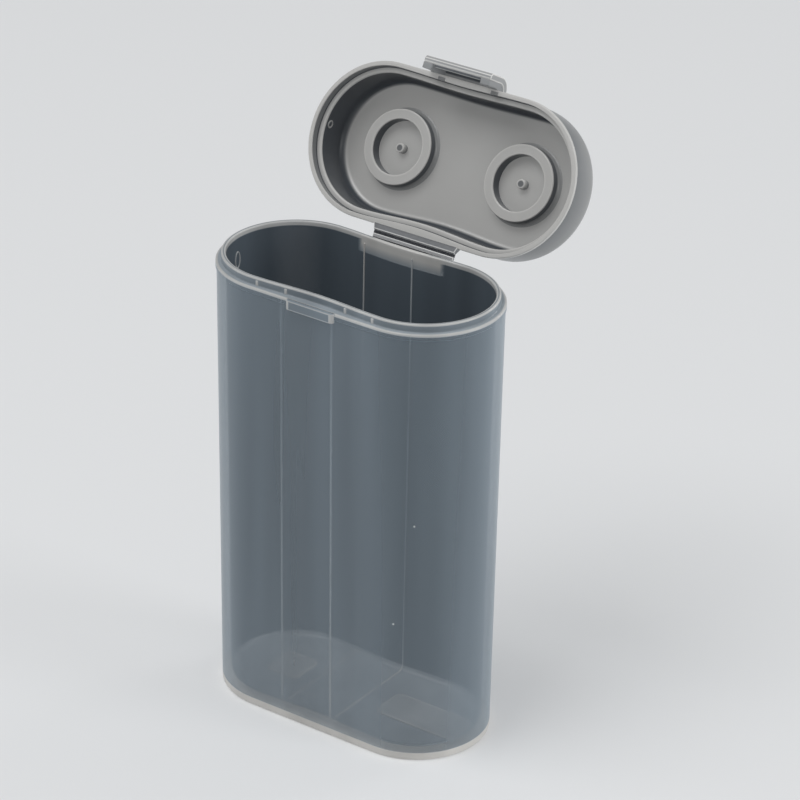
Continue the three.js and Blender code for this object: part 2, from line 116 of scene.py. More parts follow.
level = math.cos(CAMERA_ELEVATION)
forward = Vector((
    -math.sin(CAMERA_AZIMUTH) * level,
    math.cos(CAMERA_AZIMUTH) * level,
    -math.sin(CAMERA_ELEVATION),
))
across = Vector((math.cos(CAMERA_AZIMUTH), math.sin(CAMERA_AZIMUTH), 0))
upward = across.cross(forward)
right = across * math.cos(CAMERA_ROLL) + upward * math.sin(CAMERA_ROLL)
top = upward * math.cos(CAMERA_ROLL) - across * math.sin(CAMERA_ROLL)
eye = Vector((0, 0, TARGET_HEIGHT)) - forward * CAMERA_DISTANCE
eye += right * TARGET_ACROSS + top * TARGET_UP

camera_data = bpy.data.cameras.new("camera")
camera_data.lens = CAMERA_LENS
camera_data.sensor_width = CAMERA_SENSOR
camera = bpy.data.objects.new("camera", camera_data)
turn = Matrix((right, top, -forward)).transposed().to_4x4()
camera.matrix_world = Matrix.Translation(eye * MM) @ turn
bpy.context.scene.collection.objects.link(camera)
bpy.context.scene.camera = camera
print("camera at", [round(value) for value in eye], "mm")

# %% [markdown]
# ## The plan of the case
#
# Seen from above, the case is two half circles joined by straight sides. Every ring of the
# case and the lid is this same outline at another radius. Inside, the long sides draw in by
# half a millimetre between the two cells. A cosine gives that draw-in, because it leaves the
# round ends without a kink, so highlights run over the join in one smooth band.

# %% Round-ended outline
END_SPACING = 21.5
BORE_PINCH = 0.5
END_STEPS = 44
SIDE_STEPS = 26


def drawn_in(pinch, x):
    """How far a long side with a given pinch is drawn in at x."""
    return pinch / 2 * (1 + math.cos(2 * math.pi * x / END_SPACING))


def outline(radius, back_pinch, front_pinch):
    """Points of the round-ended outline, counter-clockwise from above."""
    points = []
    for side, pinch in ((1, back_pinch), (-1, front_pinch)):
        centre = side * END_SPACING / 2
        for step in range(END_STEPS + 1):
            angle = side * math.pi * (step / END_STEPS - 1 / 2)
            spin = angle if side > 0 else math.pi - angle
            points.append((centre + radius * math.cos(spin), radius * math.sin(spin)))
        for step in range(1, SIDE_STEPS):
            x = centre * (1 - 2 * step / SIDE_STEPS)
            points.append((x, side * (radius - drawn_in(pinch, x))))
    return points


print("outline points:", len(outline(1, 0, 0)))

# %% [markdown]
# ## How the plastic looks from place to place
#
# One milky plastic looks different all over a moulding. A flat wall is a thin grey mist. A
# rim or a corner, where the light meets more plastic, is dense, and it is bright partly from
# that plastic and partly from painted highlight. Deep inside the hollow little light arrives,
# so the dark there is painted shade. Separate materials would show hard borders, so every
# point carries two values instead, and the finish blends by them: one for how much plastic
# the light meets together with how much painted highlight the point gets, and one for how
# much painted shade darkens it. A hairline gets more painted highlight than any edge, so its
# first value goes past one.

# %% Looks
# A look's first value is denser plastic together with painted highlight, its second is painted shade.
THICK_AND_HIGHLIGHT = "thick_and_highlight"
PAINTED_SHADE = "painted_shade"
WALL = (0, 0)
# Full painted shade, for the bore, the dark corners and the hinge films.
DEEP_SHADE = (0, 1)
# An edge: denser plastic with painted highlight.
EDGE = (1, 0)
FLOOR = (0.5, 0)
LEDGE = (0.3, 0.1)
LIP_FACE = (0.15, 0.3)
# Ceiling and crest: denser plastic with painted light.
CEILING = (0.8, 0)
CREST = (0.92, 0.05)
SHADED = (0.3, 0.6)
# Nearly full painted shade, for walls turned away from the light.
DIM_SHADE = (0.1, 0.85)
PLATE = (0.3, 0)
SOFT_PLATE = (0.1, 0.12)
# The strongest painted highlight, for hairlines.
HAIRLINE = (1.4, 0)
SOFT_LINE = (0.9, 0.3)
print("looks are pairs of", THICK_AND_HIGHLIGHT, "and", PAINTED_SHADE)

# %% [markdown]
# ## Helpers that make the meshes
#
# A moulding is all rings, bars and turned bosses, so a few small helpers make every piece.
# Each piece is a skin over rows of points, with the same count of points in every row. It
# ends in two flat caps, or its last row joins its first. Points are written in millimetres
# and scaled once. Blender's primitives could be bent into these shapes, but rows of points
# keep every size in view.

# %% Skin helpers
SMOOTH_ANGLE = math.radians(38)


def new_piece(name, points, faces, looks, place=None):
    """A closed mesh from points in millimetres, with the look of each point."""
    mesh = bpy.data.meshes.new(name)
    mesh.from_pydata([Vector(point) for point in points], [], faces)
    for index, label in enumerate((THICK_AND_HIGHLIGHT, PAINTED_SHADE)):
        values = [look[index] for look in looks]
        mesh.attributes.new(label, "FLOAT", "POINT").data.foreach_set("value", values)
    mesh.transform(Matrix.Scale(MM, 4) @ (place or Matrix.Identity(4)))
    obj = bpy.data.objects.new(name, mesh)
    bpy.context.scene.collection.objects.link(obj)
    soften(obj)
    return obj


def soften(obj):
    """Smooth shading, with real edges kept crisp and all faces turned outward."""
    sculpt = bmesh.new()
    sculpt.from_mesh(obj.data)
    bmesh.ops.recalc_face_normals(sculpt, faces=sculpt.faces)
    sculpt.to_mesh(obj.data)
    sculpt.free()
    obj.data.shade_smooth()
    obj.data.set_sharp_from_angle(angle=SMOOTH_ANGLE)


def banded(rows, count):
    """Faces of a skin over rows that have the same count of points."""
    faces = []
    for band in range(rows - 1):
        low = band * count
        for here in range(count):
            then = (here + 1) % count
            faces.append((low + here, low + then, low + count + then, low + count + here))
    return faces


def capped(rows, count):
    """Faces of a skin over rows, with a flat cap at each end."""
    faces = banded(rows, count)
    faces.append(tuple(reversed(range(count))))
    faces.append(tuple(range((rows - 1) * count, rows * count)))
    return faces


def joined(rows, count):
    """Faces of a skin over rows, with the last row joined to the first."""
    faces = banded(rows, count)
    last = (rows - 1) * count
    for here in range(count):
        then = (here + 1) % count
        faces.append((last + here, last + then, then, here))
    return faces


print("skin helpers ready")

# %% [markdown]
# ## Levels
#
# A cup with a round-ended plan is the outline, lofted over a list of levels. Each level is a
# radius, a height and a look. A round edge is a few levels on an arc. A bevel modifier could
# round the edges too, but levels also say exactly where one look ends and the next starts.

# %% Loft helpers
ARC_STEPS = 5


def loft(name, outside, inside, front_pinch, place=None):
    """A skin over straight-sided outside levels, then over drawn-in inside ones."""
    rings = [(outline(radius, 0, 0), z, look) for radius, z, look in outside]
    rings += [(outline(radius, BORE_PINCH, front_pinch), z, look) for radius, z, look in inside]
    count = len(rings[0][0])
    points = [(x, y, z) for ring, z, _ in rings for x, y in ring]
    looks = [look for _, _, look in rings for _ in range(count)]
    return new_piece(name, points, capped(len(rings), count), looks, place)


def arc(centre, radius, start, end, look, steps=ARC_STEPS):
    """Levels on a round edge, between two angles in quarter turns."""
    made = []
    for step in range(steps + 1):
        angle = math.pi / 2 * (start + (end - start) * step / steps)
        made.append((
            centre[0] + radius * math.cos(angle), centre[1] + radius * math.sin(angle), look))
    return made


def between(start, end, steps):
    """Levels between two others, which a long wall needs to carry its look."""
    made = []
    for step in range(1, steps):
        share = step / steps
        look = tuple(a + (b - a) * share for a, b in zip(start[2], end[2]))
        made.append((
            start[0] + (end[0] - start[0]) * share, start[1] + (end[1] - start[1]) * share, look))
    return made


print("loft helpers ready")

# %% [markdown]
# ## The case
#
# The case is a cup with a 1.3 mm wall that flares a little towards the mouth, so that it
# leaves the mould. A beaded ledge runs round the mouth, and a thin lip stands inside it to
# plug into the lid. In the CAD these are four solids. Through a clear plastic their borders
# would show as seams that the moulding doesn't have, so the visual case is one skin that
# goes up the outside, over the rim and down the bore.

# %% Case sizes
CASE_BASE_RADIUS = 10.65
CASE_FLARE = 0.5
CASE_WALL = 1.3
LEDGE_HEIGHT = 67.2
FLOOR_THICKNESS = 1.2
BASE_EDGE_RADIUS = 0.4
FLOOR_FILLET = 0.9
BEAD_HEIGHT = 1
BEAD_PROUD = 0.15
BEAD_EDGE = 0.24
LIP_WALL = 0.65
LIP_HEIGHT = 1.15
LIP_EDGE = 0.2
LIP_ROOT = 0.12
RIM_HEIGHT = 1.3


def case_radius(z):
    """Outer radius of the case's wall at a height."""
    return CASE_BASE_RADIUS + CASE_FLARE * z / LEDGE_HEIGHT


def wall_level(z, look, inset=0):
    """A level on the case's wall, or inset from it."""
    return (case_radius(z) - inset, z, look)


bead_bottom = LEDGE_HEIGHT - BEAD_HEIGHT
rim_bottom = LEDGE_HEIGHT - RIM_HEIGHT
bore_top = CASE_BASE_RADIUS + CASE_FLARE - CASE_WALL
bead_radius = CASE_BASE_RADIUS + CASE_FLARE + BEAD_PROUD
lip_radius = bore_top + LIP_WALL
lip_top = LEDGE_HEIGHT + LIP_HEIGHT
fillet_top = FLOOR_THICKNESS + FLOOR_FILLET
print("bore's radius at the ledge:", round(bore_top, 2), "mm")

# %% [markdown]
# ## The outside of the case
#
# The outside starts at the small round edge of the foot, which is dense plastic with a
# painted highlight all round the floor. A long misty wall follows, up to the ledge's bead with
# the painted highlight of its edge. A look fades from one level to the next, so two close
# levels make a border.

# %% Outside of the case
LOOK_STEP = 0.15
WALL_ROWS = 12

outside = arc(
    (CASE_BASE_RADIUS - BASE_EDGE_RADIUS, BASE_EDGE_RADIUS), BASE_EDGE_RADIUS, -1, 0, HAIRLINE)
outside.append(wall_level(FLOOR_THICKNESS, HAIRLINE))
foot = wall_level(FLOOR_THICKNESS + LOOK_STEP, WALL)
head = wall_level(bead_bottom, WALL)
outside += [foot] + between(foot, head, WALL_ROWS) + [head]
outside.append((bead_radius, bead_bottom + BEAD_PROUD, WALL))
outside.append((bead_radius, LEDGE_HEIGHT - BEAD_EDGE - LOOK_STEP, WALL))
outside += arc((bead_radius - BEAD_EDGE, LEDGE_HEIGHT - BEAD_EDGE), BEAD_EDGE, 0, 1, EDGE)
outside.append((bead_radius - BEAD_EDGE - LOOK_STEP, LEDGE_HEIGHT, LEDGE))
print("levels outside the case:", len(outside))

# %% [markdown]
# ## The lip and the bore
#
# The lip's two top edges get painted highlight, its top between them painted shade and its
# outer face a little painted shade. The inner highlight runs a little way down. Below it the
# bore lies in painted shade, as far as the fillet at the floor. One loft over the outside and
# the inside levels then makes the whole case.

# %% Inside of the case
LIP_GLOW = 0.4

inside = arc((lip_radius + LIP_ROOT, LEDGE_HEIGHT + LIP_ROOT), LIP_ROOT, 3, 2, LEDGE)
inside.append((lip_radius, LEDGE_HEIGHT + LIP_ROOT + LOOK_STEP, LIP_FACE))
inside.append((lip_radius, lip_top - LIP_EDGE - LOOK_STEP / 2, LIP_FACE))
inside += arc((lip_radius - LIP_EDGE, lip_top - LIP_EDGE), LIP_EDGE, 0, 1, EDGE)
inside.append((bore_top + LIP_WALL / 2, lip_top, SHADED))
inside += arc((bore_top + LIP_EDGE, lip_top - LIP_EDGE), LIP_EDGE, 1, 2, EDGE)
inside.append((bore_top, lip_top - LIP_EDGE - LIP_GLOW, EDGE))
inside.append((bore_top, lip_top - LIP_EDGE - LIP_GLOW - LOOK_STEP, DEEP_SHADE))
inside.append((bore_top, LEDGE_HEIGHT, DEEP_SHADE))
bore_head = wall_level(rim_bottom, DEEP_SHADE, CASE_WALL)
bore_end = wall_level(fillet_top, DEEP_SHADE, CASE_WALL)
inside += [bore_head, wall_level(rim_bottom - LOOK_STEP, DEEP_SHADE, CASE_WALL)]
inside += between(inside[-1], bore_end, WALL_ROWS) + [bore_end]
floor_edge = bore_end[0] - FLOOR_FILLET
inside += arc((floor_edge, fillet_top), FLOOR_FILLET, 0, -1, FLOOR)[1:]

case_shell = loft("case_shell", outside, inside, BORE_PINCH)
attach(case_shell, "case")
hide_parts("case_floor", "case_wall", "case_rim", "case_lip")
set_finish(case_shell, "case_plastic")
print("case shell:", len(case_shell.data.vertices), "points")

# %% [markdown]
# ## Marks inside the case
#
# Two hairline ridges run down the front of the bore, over the floor and up the back, where
# the mould's core was split. They stand only a tenth of a millimetre proud. Their painted
# highlight is strongest over the floor and under the rear rim, and fades in between. They
# could be bump in the finish, but as thin closed strips they catch light from every side and
# are seen through the wall as fine lines.

# %% Lines along the bore
RIDGE_ROWS = 24


def bore_line(x, inset):
    """The bore's section at x, from the front rim down, over the floor and up the back."""
    start = wall_level(LEDGE_HEIGHT, DEEP_SHADE, CASE_WALL)
    rows = [start] + between(start, bore_end, RIDGE_ROWS)
    wall = [(radius - inset, z) for radius, z, _ in rows]
    corner = arc((floor_edge, fillet_top), FLOOR_FILLET - inset, 0, -1, DEEP_SHADE)
    wall += [(radius, z) for radius, z, _ in corner]
    front = [(x, drawn_in(BORE_PINCH, x) - radius, z) for radius, z in wall]
    return front + [(x, -y, z) for x, y, z in reversed(front)]


print("points on a line along the bore:", len(bore_line(0, 0)))

# %% [markdown]
# ## The ridges as strips
#
# Each ridge is a strip over four such lines, two rooted in the wall and two on its crest. Its
# table pairs a share of the run, from the front rim to the back one, with how much painted
# highlight the ridge gets there. Painting the strength by hand would work too, but a table
# can be read.

# %% Bore ridges
RIDGE_WIDTH = 0.26
RIDGE_PROUD = 0.12
RIDGE_ROOT = 0.08
RIDGES = {
    "bore_ridge_left": {"x": -6.2, "shares": (
        (0, 0.1), (0.3, 0.6), (0.42, 1.2), (0.56, 1.2), (0.62, 0.3), (0.88, 0.15), (1, 1.4))},
    "bore_ridge_right": {"x": 2.15, "shares": (
        (0, 0.15), (0.3, 0.8), (0.42, 1.6), (0.56, 1.6), (0.62, 0.35), (0.88, 0.1), (1, 0.7))},
}


def ridge_look(shares, run):
    """How much painted highlight a ridge gets at a share of its run from the front rim to the back one."""
    for (start, low), (end, high) in zip(shares, shares[1:]):
        if run <= end:
            break
    return (low + (high - low) * (run - start) / (end - start), 0)


def ridge(name, x, shares):
    """A thin strip on the bore's surface, rooted just inside it."""
    half = RIDGE_WIDTH / 2
    lines = [
        bore_line(x - half, -RIDGE_ROOT),
        bore_line(x - half / 2, RIDGE_PROUD),
        bore_line(x + half / 2, RIDGE_PROUD),
        bore_line(x + half, -RIDGE_ROOT),
    ]
    rows = len(lines[0])
    points = [line[row] for row in range(rows) for line in lines]
    looks = [ridge_look(shares, row / (rows - 1)) for row in range(rows) for _ in lines]
    return new_piece(name, points, capped(rows, len(lines)), looks)


for name, values in RIDGES.items():
    strip = ridge(name, **values)
    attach(strip, "case")
    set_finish(strip, "case_plastic")
print("ridges:", len(RIDGES))

# %% [markdown]
# ## Round edges that gather light
#
# The pads, the catch bar, the hinge and the latch have the small round edges of a moulded
# part. Those edges gather the light while the flat faces stay misty. A bevel modifier could
# round them, but a bevel in mesh code can also set the looks. Each broad face is inset a
# little, and only its middle gets the face's own look. The slim faces of a curve get that
# look without an inset, or the curve would seem ribbed. The narrow strips of the bevel keep
# the bright look that the piece was made with, which is painted highlight. Faces that turn
# to a shaded side get painted shade.

# %% Edge helper
BEVEL_STEPS = 3
BEVEL_PROFILE = 0.5
BEVEL_ANGLE = math.radians(25)
BROAD_FACE = 3
SHADE_FACING = 0.5


def face_width(face):
    """How wide a face is across its longest edge."""
    return face.calc_area() / max(edge.calc_length() for edge in face.edges)


def rounded(obj, radius, glow, face_look, shade_side=None):
    """Rounds the sharp edges and gives the faces a look, with painted shade where they face the shaded side.
    """
    sculpt = bmesh.new()
    sculpt.from_mesh(obj.data)
    bmesh.ops.recalc_face_normals(sculpt, faces=sculpt.faces)
    sharp = [edge for edge in sculpt.edges if edge.calc_face_angle(0) > BEVEL_ANGLE]
    bmesh.ops.bevel(
        sculpt, geom=sharp, offset=radius * MM, segments=BEVEL_STEPS, profile=BEVEL_PROFILE,
        affect="EDGES", clamp_overlap=True)
    widths = {face: face_width(face) / (glow * MM) for face in sculpt.faces}
    plain = [face for face, width in widths.items() if width > 1]
    broad = [face for face in plain if widths[face] > BROAD_FACE]
    bmesh.ops.inset_individual(sculpt, faces=broad, thickness=glow * MM, use_even_offset=True)
    thick_and_highlight = sculpt.verts.layers.float[THICK_AND_HIGHLIGHT]
    painted_shade = sculpt.verts.layers.float[PAINTED_SHADE]
    for face in plain:
        in_shade = shade_side is not None and face.normal.dot(shade_side) > SHADE_FACING
        look = DIM_SHADE if in_shade else face_look
        for vert in face.verts:
            vert[thick_and_highlight] = look[0]
            vert[painted_shade] = look[1]
    sculpt.to_mesh(obj.data)
    sculpt.free()
    soften(obj)


print("edge helper ready")

# %% [markdown]
# ## Runs of one section
#
# A bar or a slab is a flat section, run along one axis. Extruding a curve would do the same,
# but the points of a mesh can carry the two looks.

# %% Section helpers
CORNER_STEPS = 8


def prism(name, section, axis, low, high, place=None, look=EDGE):
    """A flat section run along an axis: 'x' for a (y, z) section, 'z' for an (x, y) one."""
    ends = (low, high)
    points = []
    for depth in ends:
        for first, second in section:
            points.append((depth, first, second) if axis == "x" else (first, second, depth))
    faces = capped(len(ends), len(section))
    return new_piece(name, points, faces, [look] * len(points), place)


def rectangle(x0, y0, x1, y1):
    """Corners of a rectangle, counter-clockwise."""
    return [(x0, y0), (x1, y0), (x1, y1), (x0, y1)]


def round_rectangle(x0, y0, x1, y1, corner):
    """Points of a rectangle with round corners, counter-clockwise."""
    middles = [(x1 - corner, y1 - corner), (x0 + corner, y1 - corner),
               (x0 + corner, y0 + corner), (x1 - corner, y0 + corner)]
    points = []
    for quarter, (x, y) in enumerate(middles):
        for step in range(CORNER_STEPS + 1):
            angle = math.pi / 2 * (quarter + step / CORNER_STEPS)
            points.append((x + corner * math.cos(angle), y + corner * math.sin(angle)))
    return points


print("section helpers ready")

# %% [markdown]
# ## Turned shapes
#
# The collars and the studs inside the lid are turned: their levels sweep round an upright
# axis. A screw modifier could turn them, but levels like the case's keep their looks simple.

# %% Turned helper
TURN_STEPS = 72


def turned(name, levels, x, place=None, solid=False):
    """Levels turned about an upright axis at x: a closed ring, or a boss that is solid."""
    points = []
    for radius, z, _ in levels:
        for step in range(TURN_STEPS):
            angle = 2 * math.pi * step / TURN_STEPS
            points.append((x + radius * math.cos(angle), radius * math.sin(angle), z))
    looks = [look for _, _, look in levels for _ in range(TURN_STEPS)]
    skin = capped if solid else joined
    return new_piece(name, points, skin(len(levels), TURN_STEPS), looks, place)


print("turned helper ready")

# %% [markdown]
# ## Floor pads
#
# Two bare raised plates lie on the floor. Each takes its size and place from the CAD's own
# pad, so the two can't drift apart, and it is sunk a little so that no gap shows under it.

# %% Floor pads
PAD_CORNER = 1.2
PAD_EDGE = 0.06
PAD_SINK = 0.05
PAD_GLOW = 0.4
PAD_LOOK = (0.9, 0)

pads = ("floor_pad_left", "floor_pad_right")
for name in pads:
    low, high = (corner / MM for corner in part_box(name))
    shape = round_rectangle(low.x, low.y, high.x, high.y, PAD_CORNER)
    # The pad's round rim keeps the hairline look, a painted highlight, and its face gets a lighter, denser
    # look.
    pad = prism(name + "_skin", shape, "z", low.z - PAD_SINK, high.z, look=HAIRLINE)
    rounded(pad, PAD_EDGE, PAD_GLOW, PAD_LOOK)
    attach(pad, "case")
    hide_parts(name)
    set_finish(pad, "case_plastic")
print("floor pads:", len(pads))

# %% [markdown]
# ## Catch bar
#
# The catch bar stands out from the ledge at the front, where the latch drops over it, and
# its ends are round in plan. A rectangle with round corners is drawn too deep, and what
# reaches into the ledge is pressed flat, which leaves only the front corners round.

# %% Catch bar
BAR_WIDTH = 8
BAR_PROUD = 0.5
BAR_CORNER = 0.55
BAR_EDGE = 0.14
BAR_GLOW = 0.15
BAR_FACE = (0.05, 0.2)

bar_front = -bead_radius - BAR_PROUD
bar_back = BEAD_EDGE - bead_radius
shape = round_rectangle(
    -BAR_WIDTH / 2, bar_front, BAR_WIDTH / 2, bar_back + BAR_CORNER, BAR_CORNER)
shape = [(x, min(y, bar_back)) for x, y in shape]
catch_bar = prism("catch_bar_skin", shape, "z", rim_bottom, LEDGE_HEIGHT)
# Its round edges keep the bright look, a painted highlight, and its faces get a little painted shade.
rounded(catch_bar, BAR_EDGE, BAR_GLOW, BAR_FACE)
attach(catch_bar, "case")
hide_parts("catch_bar")
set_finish(catch_bar, "case_plastic")
print("catch bar:", BAR_WIDTH, "mm wide")

# %% [markdown]
# ## Lip ribs
#
# Four short upright ribs on the lip's front give the lid its final snap. Bump would do for
# their front, but real ribs also break the lip's outline when it is seen from above.

# %% Lip ribs
RIB_FAR_REACH = 9.7
RIB_NEAR_REACH = 5
RIB_PLACES = {
    "lip_rib_far_left": -RIB_FAR_REACH, "lip_rib_left": -RIB_NEAR_REACH,
    "lip_rib_right": RIB_NEAR_REACH, "lip_rib_far_right": RIB_FAR_REACH}
RIB_WIDTH = 0.4
RIB_HEIGHT = 0.8
RIB_PROUD = 0.08
RIB_ROOT = 0.3
RIB_EDGE = 0.06

for name, x in RIB_PLACES.items():
    face = drawn_in(BORE_PINCH, x) - lip_radius
    shape = rectangle(x - RIB_WIDTH / 2, face - RIB_PROUD, x + RIB_WIDTH / 2, face + RIB_ROOT)
    rib = prism(name + "_skin", shape, "z", LEDGE_HEIGHT, LEDGE_HEIGHT + RIB_HEIGHT)
    # Each rib takes the bright edge look all over, a painted highlight.
    rounded(rib, RIB_EDGE, RIB_EDGE, EDGE)
    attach(rib, "case")
    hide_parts(name)
    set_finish(rib, "case_plastic")
print("lip ribs:", len(RIB_PLACES))

# %% [markdown]
# ## Where the lid is
#
# The lid is shaped as if it were shut, in its own frame: the middle of its rim plane is the
# origin and +Z points to its top. One matrix then swings it open about the upper fold, so
# every piece of the lid is written in simple upright numbers.

# %% Open lid's place
FOLD_STANDOFF = 1.1
FOLD_RISE = 0.44
LID_OPENING = math.radians(119.3)

fold_at = {joint["name"]: Vector(joint["pos_m"]) / MM for joint in frame["joints"]}
upper_fold = fold_at["upper_fold"]
lower_fold = fold_at["lower_fold"]
hinge_reach = bead_radius + FOLD_STANDOFF
lid_turn = Matrix.Rotation(-LID_OPENING, 4, "X")
lid_place = Matrix.Translation(upper_fold) @ lid_turn
lid_place = lid_place @ Matrix.Translation((0, -hinge_reach, -FOLD_RISE))
print("lid stands open by", round(math.degrees(LID_OPENING), 1), "degrees")

# %% [markdown]
# ## The lid
#
# The lid is a shallow cup with a big round shoulder. Its beaded rim has a rebate that takes
# the case's lip. Like the case it is one skin, which starts in the middle of the top, goes
# down the outside, round the rim and up into the hollow.

# %% Lid sizes
LID_DEPTH = 8
LID_TOP_THICKNESS = 1.05
LID_SHOULDER = 3.1
LID_FILLET = 1.2
LID_WALL_SET_IN = 0.25
LID_DRAFT = 0.05
LID_BEAD_HEIGHT = 0.6
LID_BEAD_EDGE = 0.15
REBATE_DEPTH = 1.3
LIP_CLEARANCE = 0.15
REBATE_EDGE = 0.08

lid_radius = bead_radius - LID_WALL_SET_IN
shoulder_radius = lid_radius - LID_DRAFT
shoulder_bore = bore_top - LID_DRAFT
rebate_radius = lip_radius + LIP_CLEARANCE
crown_bottom = LID_DEPTH - LID_SHOULDER
ceiling = LID_DEPTH - LID_TOP_THICKNESS
print("depth of the lid's hollow:", round(ceiling, 2), "mm")

# %% [markdown]
# ## The outside of the lid
#
# The shoulder is one quarter turn. It has more levels than the small edges, because gloss
# shows every flat on a big curve. The bead at the rim is two small quarter turns, with a
# painted highlight.

# %% Outside of the lid
SHOULDER_STEPS = 12
LID_WALL_ROWS = 3

shoulder_centre = (shoulder_radius - LID_SHOULDER, crown_bottom)
outside = arc(shoulder_centre, LID_SHOULDER, 1, 0, PLATE, SHOULDER_STEPS)
outside += between(outside[-1], (lid_radius, LID_BEAD_HEIGHT, WALL), LID_WALL_ROWS)
outside.append((lid_radius, LID_BEAD_HEIGHT, WALL))
bead_middle = bead_radius - LID_BEAD_EDGE
outside += arc((bead_middle, LID_BEAD_HEIGHT - LID_BEAD_EDGE), LID_BEAD_EDGE, 1, 0, EDGE)
outside += arc((bead_middle, LID_BEAD_EDGE), LID_BEAD_EDGE, 0, -1, EDGE)
print("levels outside the lid:", len(outside))

# %% [markdown]
# ## The hollow of the lid
#
# The rebate's wall gets painted half shade with a painted dark corner behind it, and the step
# to the bore a painted highlight line. The bore gets painted shade up to the middle of the
# fillet, and the pale ceiling, dense plastic with painted light, starts at three quarters of
# it. Under the latch the hollow's long side is nearly straight, so that side gets a smaller
# draw-in than the one by the hinge.

# %% Inside of the lid
REBATE_LOOK = (0.3, 0.45)
STEP_LOOK = (0.8, 0.1)
FILLET_SHADE_SHARE = 0.5
FILLET_PALE_SHARE = 0.75
LID_FRONT_PINCH = 0.2

inside = arc((rebate_radius + REBATE_EDGE, REBATE_EDGE), REBATE_EDGE, 3, 2, EDGE)
inside.append((rebate_radius, REBATE_EDGE + LOOK_STEP, REBATE_LOOK))
inside.append((rebate_radius, REBATE_DEPTH - LOOK_STEP, REBATE_LOOK))
inside.append((rebate_radius, REBATE_DEPTH, DEEP_SHADE))
inside.append((rebate_radius - LOOK_STEP, REBATE_DEPTH, STEP_LOOK))
inside += arc((bore_top + LIP_EDGE, REBATE_DEPTH + LIP_EDGE), LIP_EDGE, 3, 2, EDGE)
inside.append((bore_top, REBATE_DEPTH + LIP_EDGE + LOOK_STEP, DEEP_SHADE))
inside.append((shoulder_bore, ceiling - LID_FILLET - LOOK_STEP, DEEP_SHADE))
ceiling_centre = (shoulder_bore - LID_FILLET, ceiling - LID_FILLET)
inside += arc(ceiling_centre, LID_FILLET, 0, FILLET_SHADE_SHARE, DEEP_SHADE)
inside += arc(ceiling_centre, LID_FILLET, FILLET_PALE_SHARE, 1, CEILING)

lid_shell = loft("lid_shell", outside, inside, LID_FRONT_PINCH, lid_place)
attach(lid_shell, "lid")
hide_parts("lid_rim", "lid_skirt", "lid_crown")
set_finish(lid_shell, "lid_plastic")
print("lid shell:", len(lid_shell.data.vertices), "points")

# %% [markdown]
# ## Collars and studs
#
# Two round collars inside the lid hold the ends of the cells, and each has a low stud in
# its middle. A collar's foot runs into the ceiling in a soft fillet, which shows as a faint
# outer ring. Its upright walls lie in shade, and its crest catches light at both edges.

# %% Collar levels
COLLAR_RADIUS = 5.5
COLLAR_BORE = 4.05
COLLAR_HEIGHT = 1.85
COLLAR_EDGE = 0.14
COLLAR_FOOT = 0.5
COLLAR_SINK = 0.06

crest = ceiling - COLLAR_HEIGHT
crest_low = crest + COLLAR_EDGE
# Upright walls get painted shade, and the crest's edges painted highlight.
collar_levels = [
    (COLLAR_BORE, ceiling + COLLAR_SINK, DIM_SHADE), (COLLAR_BORE, crest_low + LOOK_STEP, DIM_SHADE)]
collar_levels += arc((COLLAR_BORE + COLLAR_EDGE, crest_low), COLLAR_EDGE, 2, 3, EDGE)
collar_levels.append((COLLAR_BORE + COLLAR_EDGE + LOOK_STEP, crest, CREST))
collar_levels.append((COLLAR_RADIUS - COLLAR_EDGE - LOOK_STEP, crest, CREST))
collar_levels += arc((COLLAR_RADIUS - COLLAR_EDGE, crest_low), COLLAR_EDGE, 3, 4, EDGE)
collar_levels.append((COLLAR_RADIUS, crest_low + LOOK_STEP, DIM_SHADE))
collar_levels.append((COLLAR_RADIUS, ceiling - COLLAR_FOOT - LOOK_STEP, DIM_SHADE))
foot_centre = (COLLAR_RADIUS + COLLAR_FOOT, ceiling - COLLAR_FOOT)
collar_levels += arc(foot_centre, COLLAR_FOOT, 2, 1, PLATE)
collar_levels.append((COLLAR_RADIUS + COLLAR_FOOT, ceiling + COLLAR_SINK, CEILING))
print("levels of a collar:", len(collar_levels))

# %% [markdown]
# ## Studs in the collars
#
# A stud is a small solid boss with painted shade on its top and sides and a painted highlight
# round its rim. It is turned like its collar, and both are sunk into the ceiling by the same
# little depth, so no gap shows round their feet.

# %% Collars and studs
COLLAR_REACH = 10.35
STUD_RADIUS = 0.7
STUD_HEIGHT = 1.1
STUD_EDGE = 0.18
STUD_CENTRE_SHARE = 0.25

stud_low = ceiling - STUD_HEIGHT
stud_levels = [(STUD_RADIUS * STUD_CENTRE_SHARE, stud_low, SHADED)]
stud_levels.append((STUD_RADIUS - STUD_EDGE - LOOK_STEP, stud_low, SHADED))
stud_levels += arc((STUD_RADIUS - STUD_EDGE, stud_low + STUD_EDGE), STUD_EDGE, 3, 4, EDGE)
stud_levels.append((STUD_RADIUS, ceiling + COLLAR_SINK, SHADED))

for side, x in (("left", -COLLAR_REACH), ("right", COLLAR_REACH)):
    collar = turned("collar_skin_" + side, collar_levels, x, lid_place)
    stud = turned("stud_skin_" + side, stud_levels, x, lid_place, solid=True)
    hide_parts("collar_" + side)
    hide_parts("pip_" + side)
    for obj in (collar, stud):
        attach(obj, "lid")
        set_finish(obj, "lid_plastic")
print("collars and studs made")

# %% [markdown]
# ## The double living hinge
#
# A stiff strip hangs between two thin films, so the lid can fold right back. A flange on the
# case and one on the lid hold the films. Each flange is a thick bar that thins to a film's
# root and is a little wider at the rim. A plain prism has straight ends, so the flanges get a
# helper of their own that spreads them.

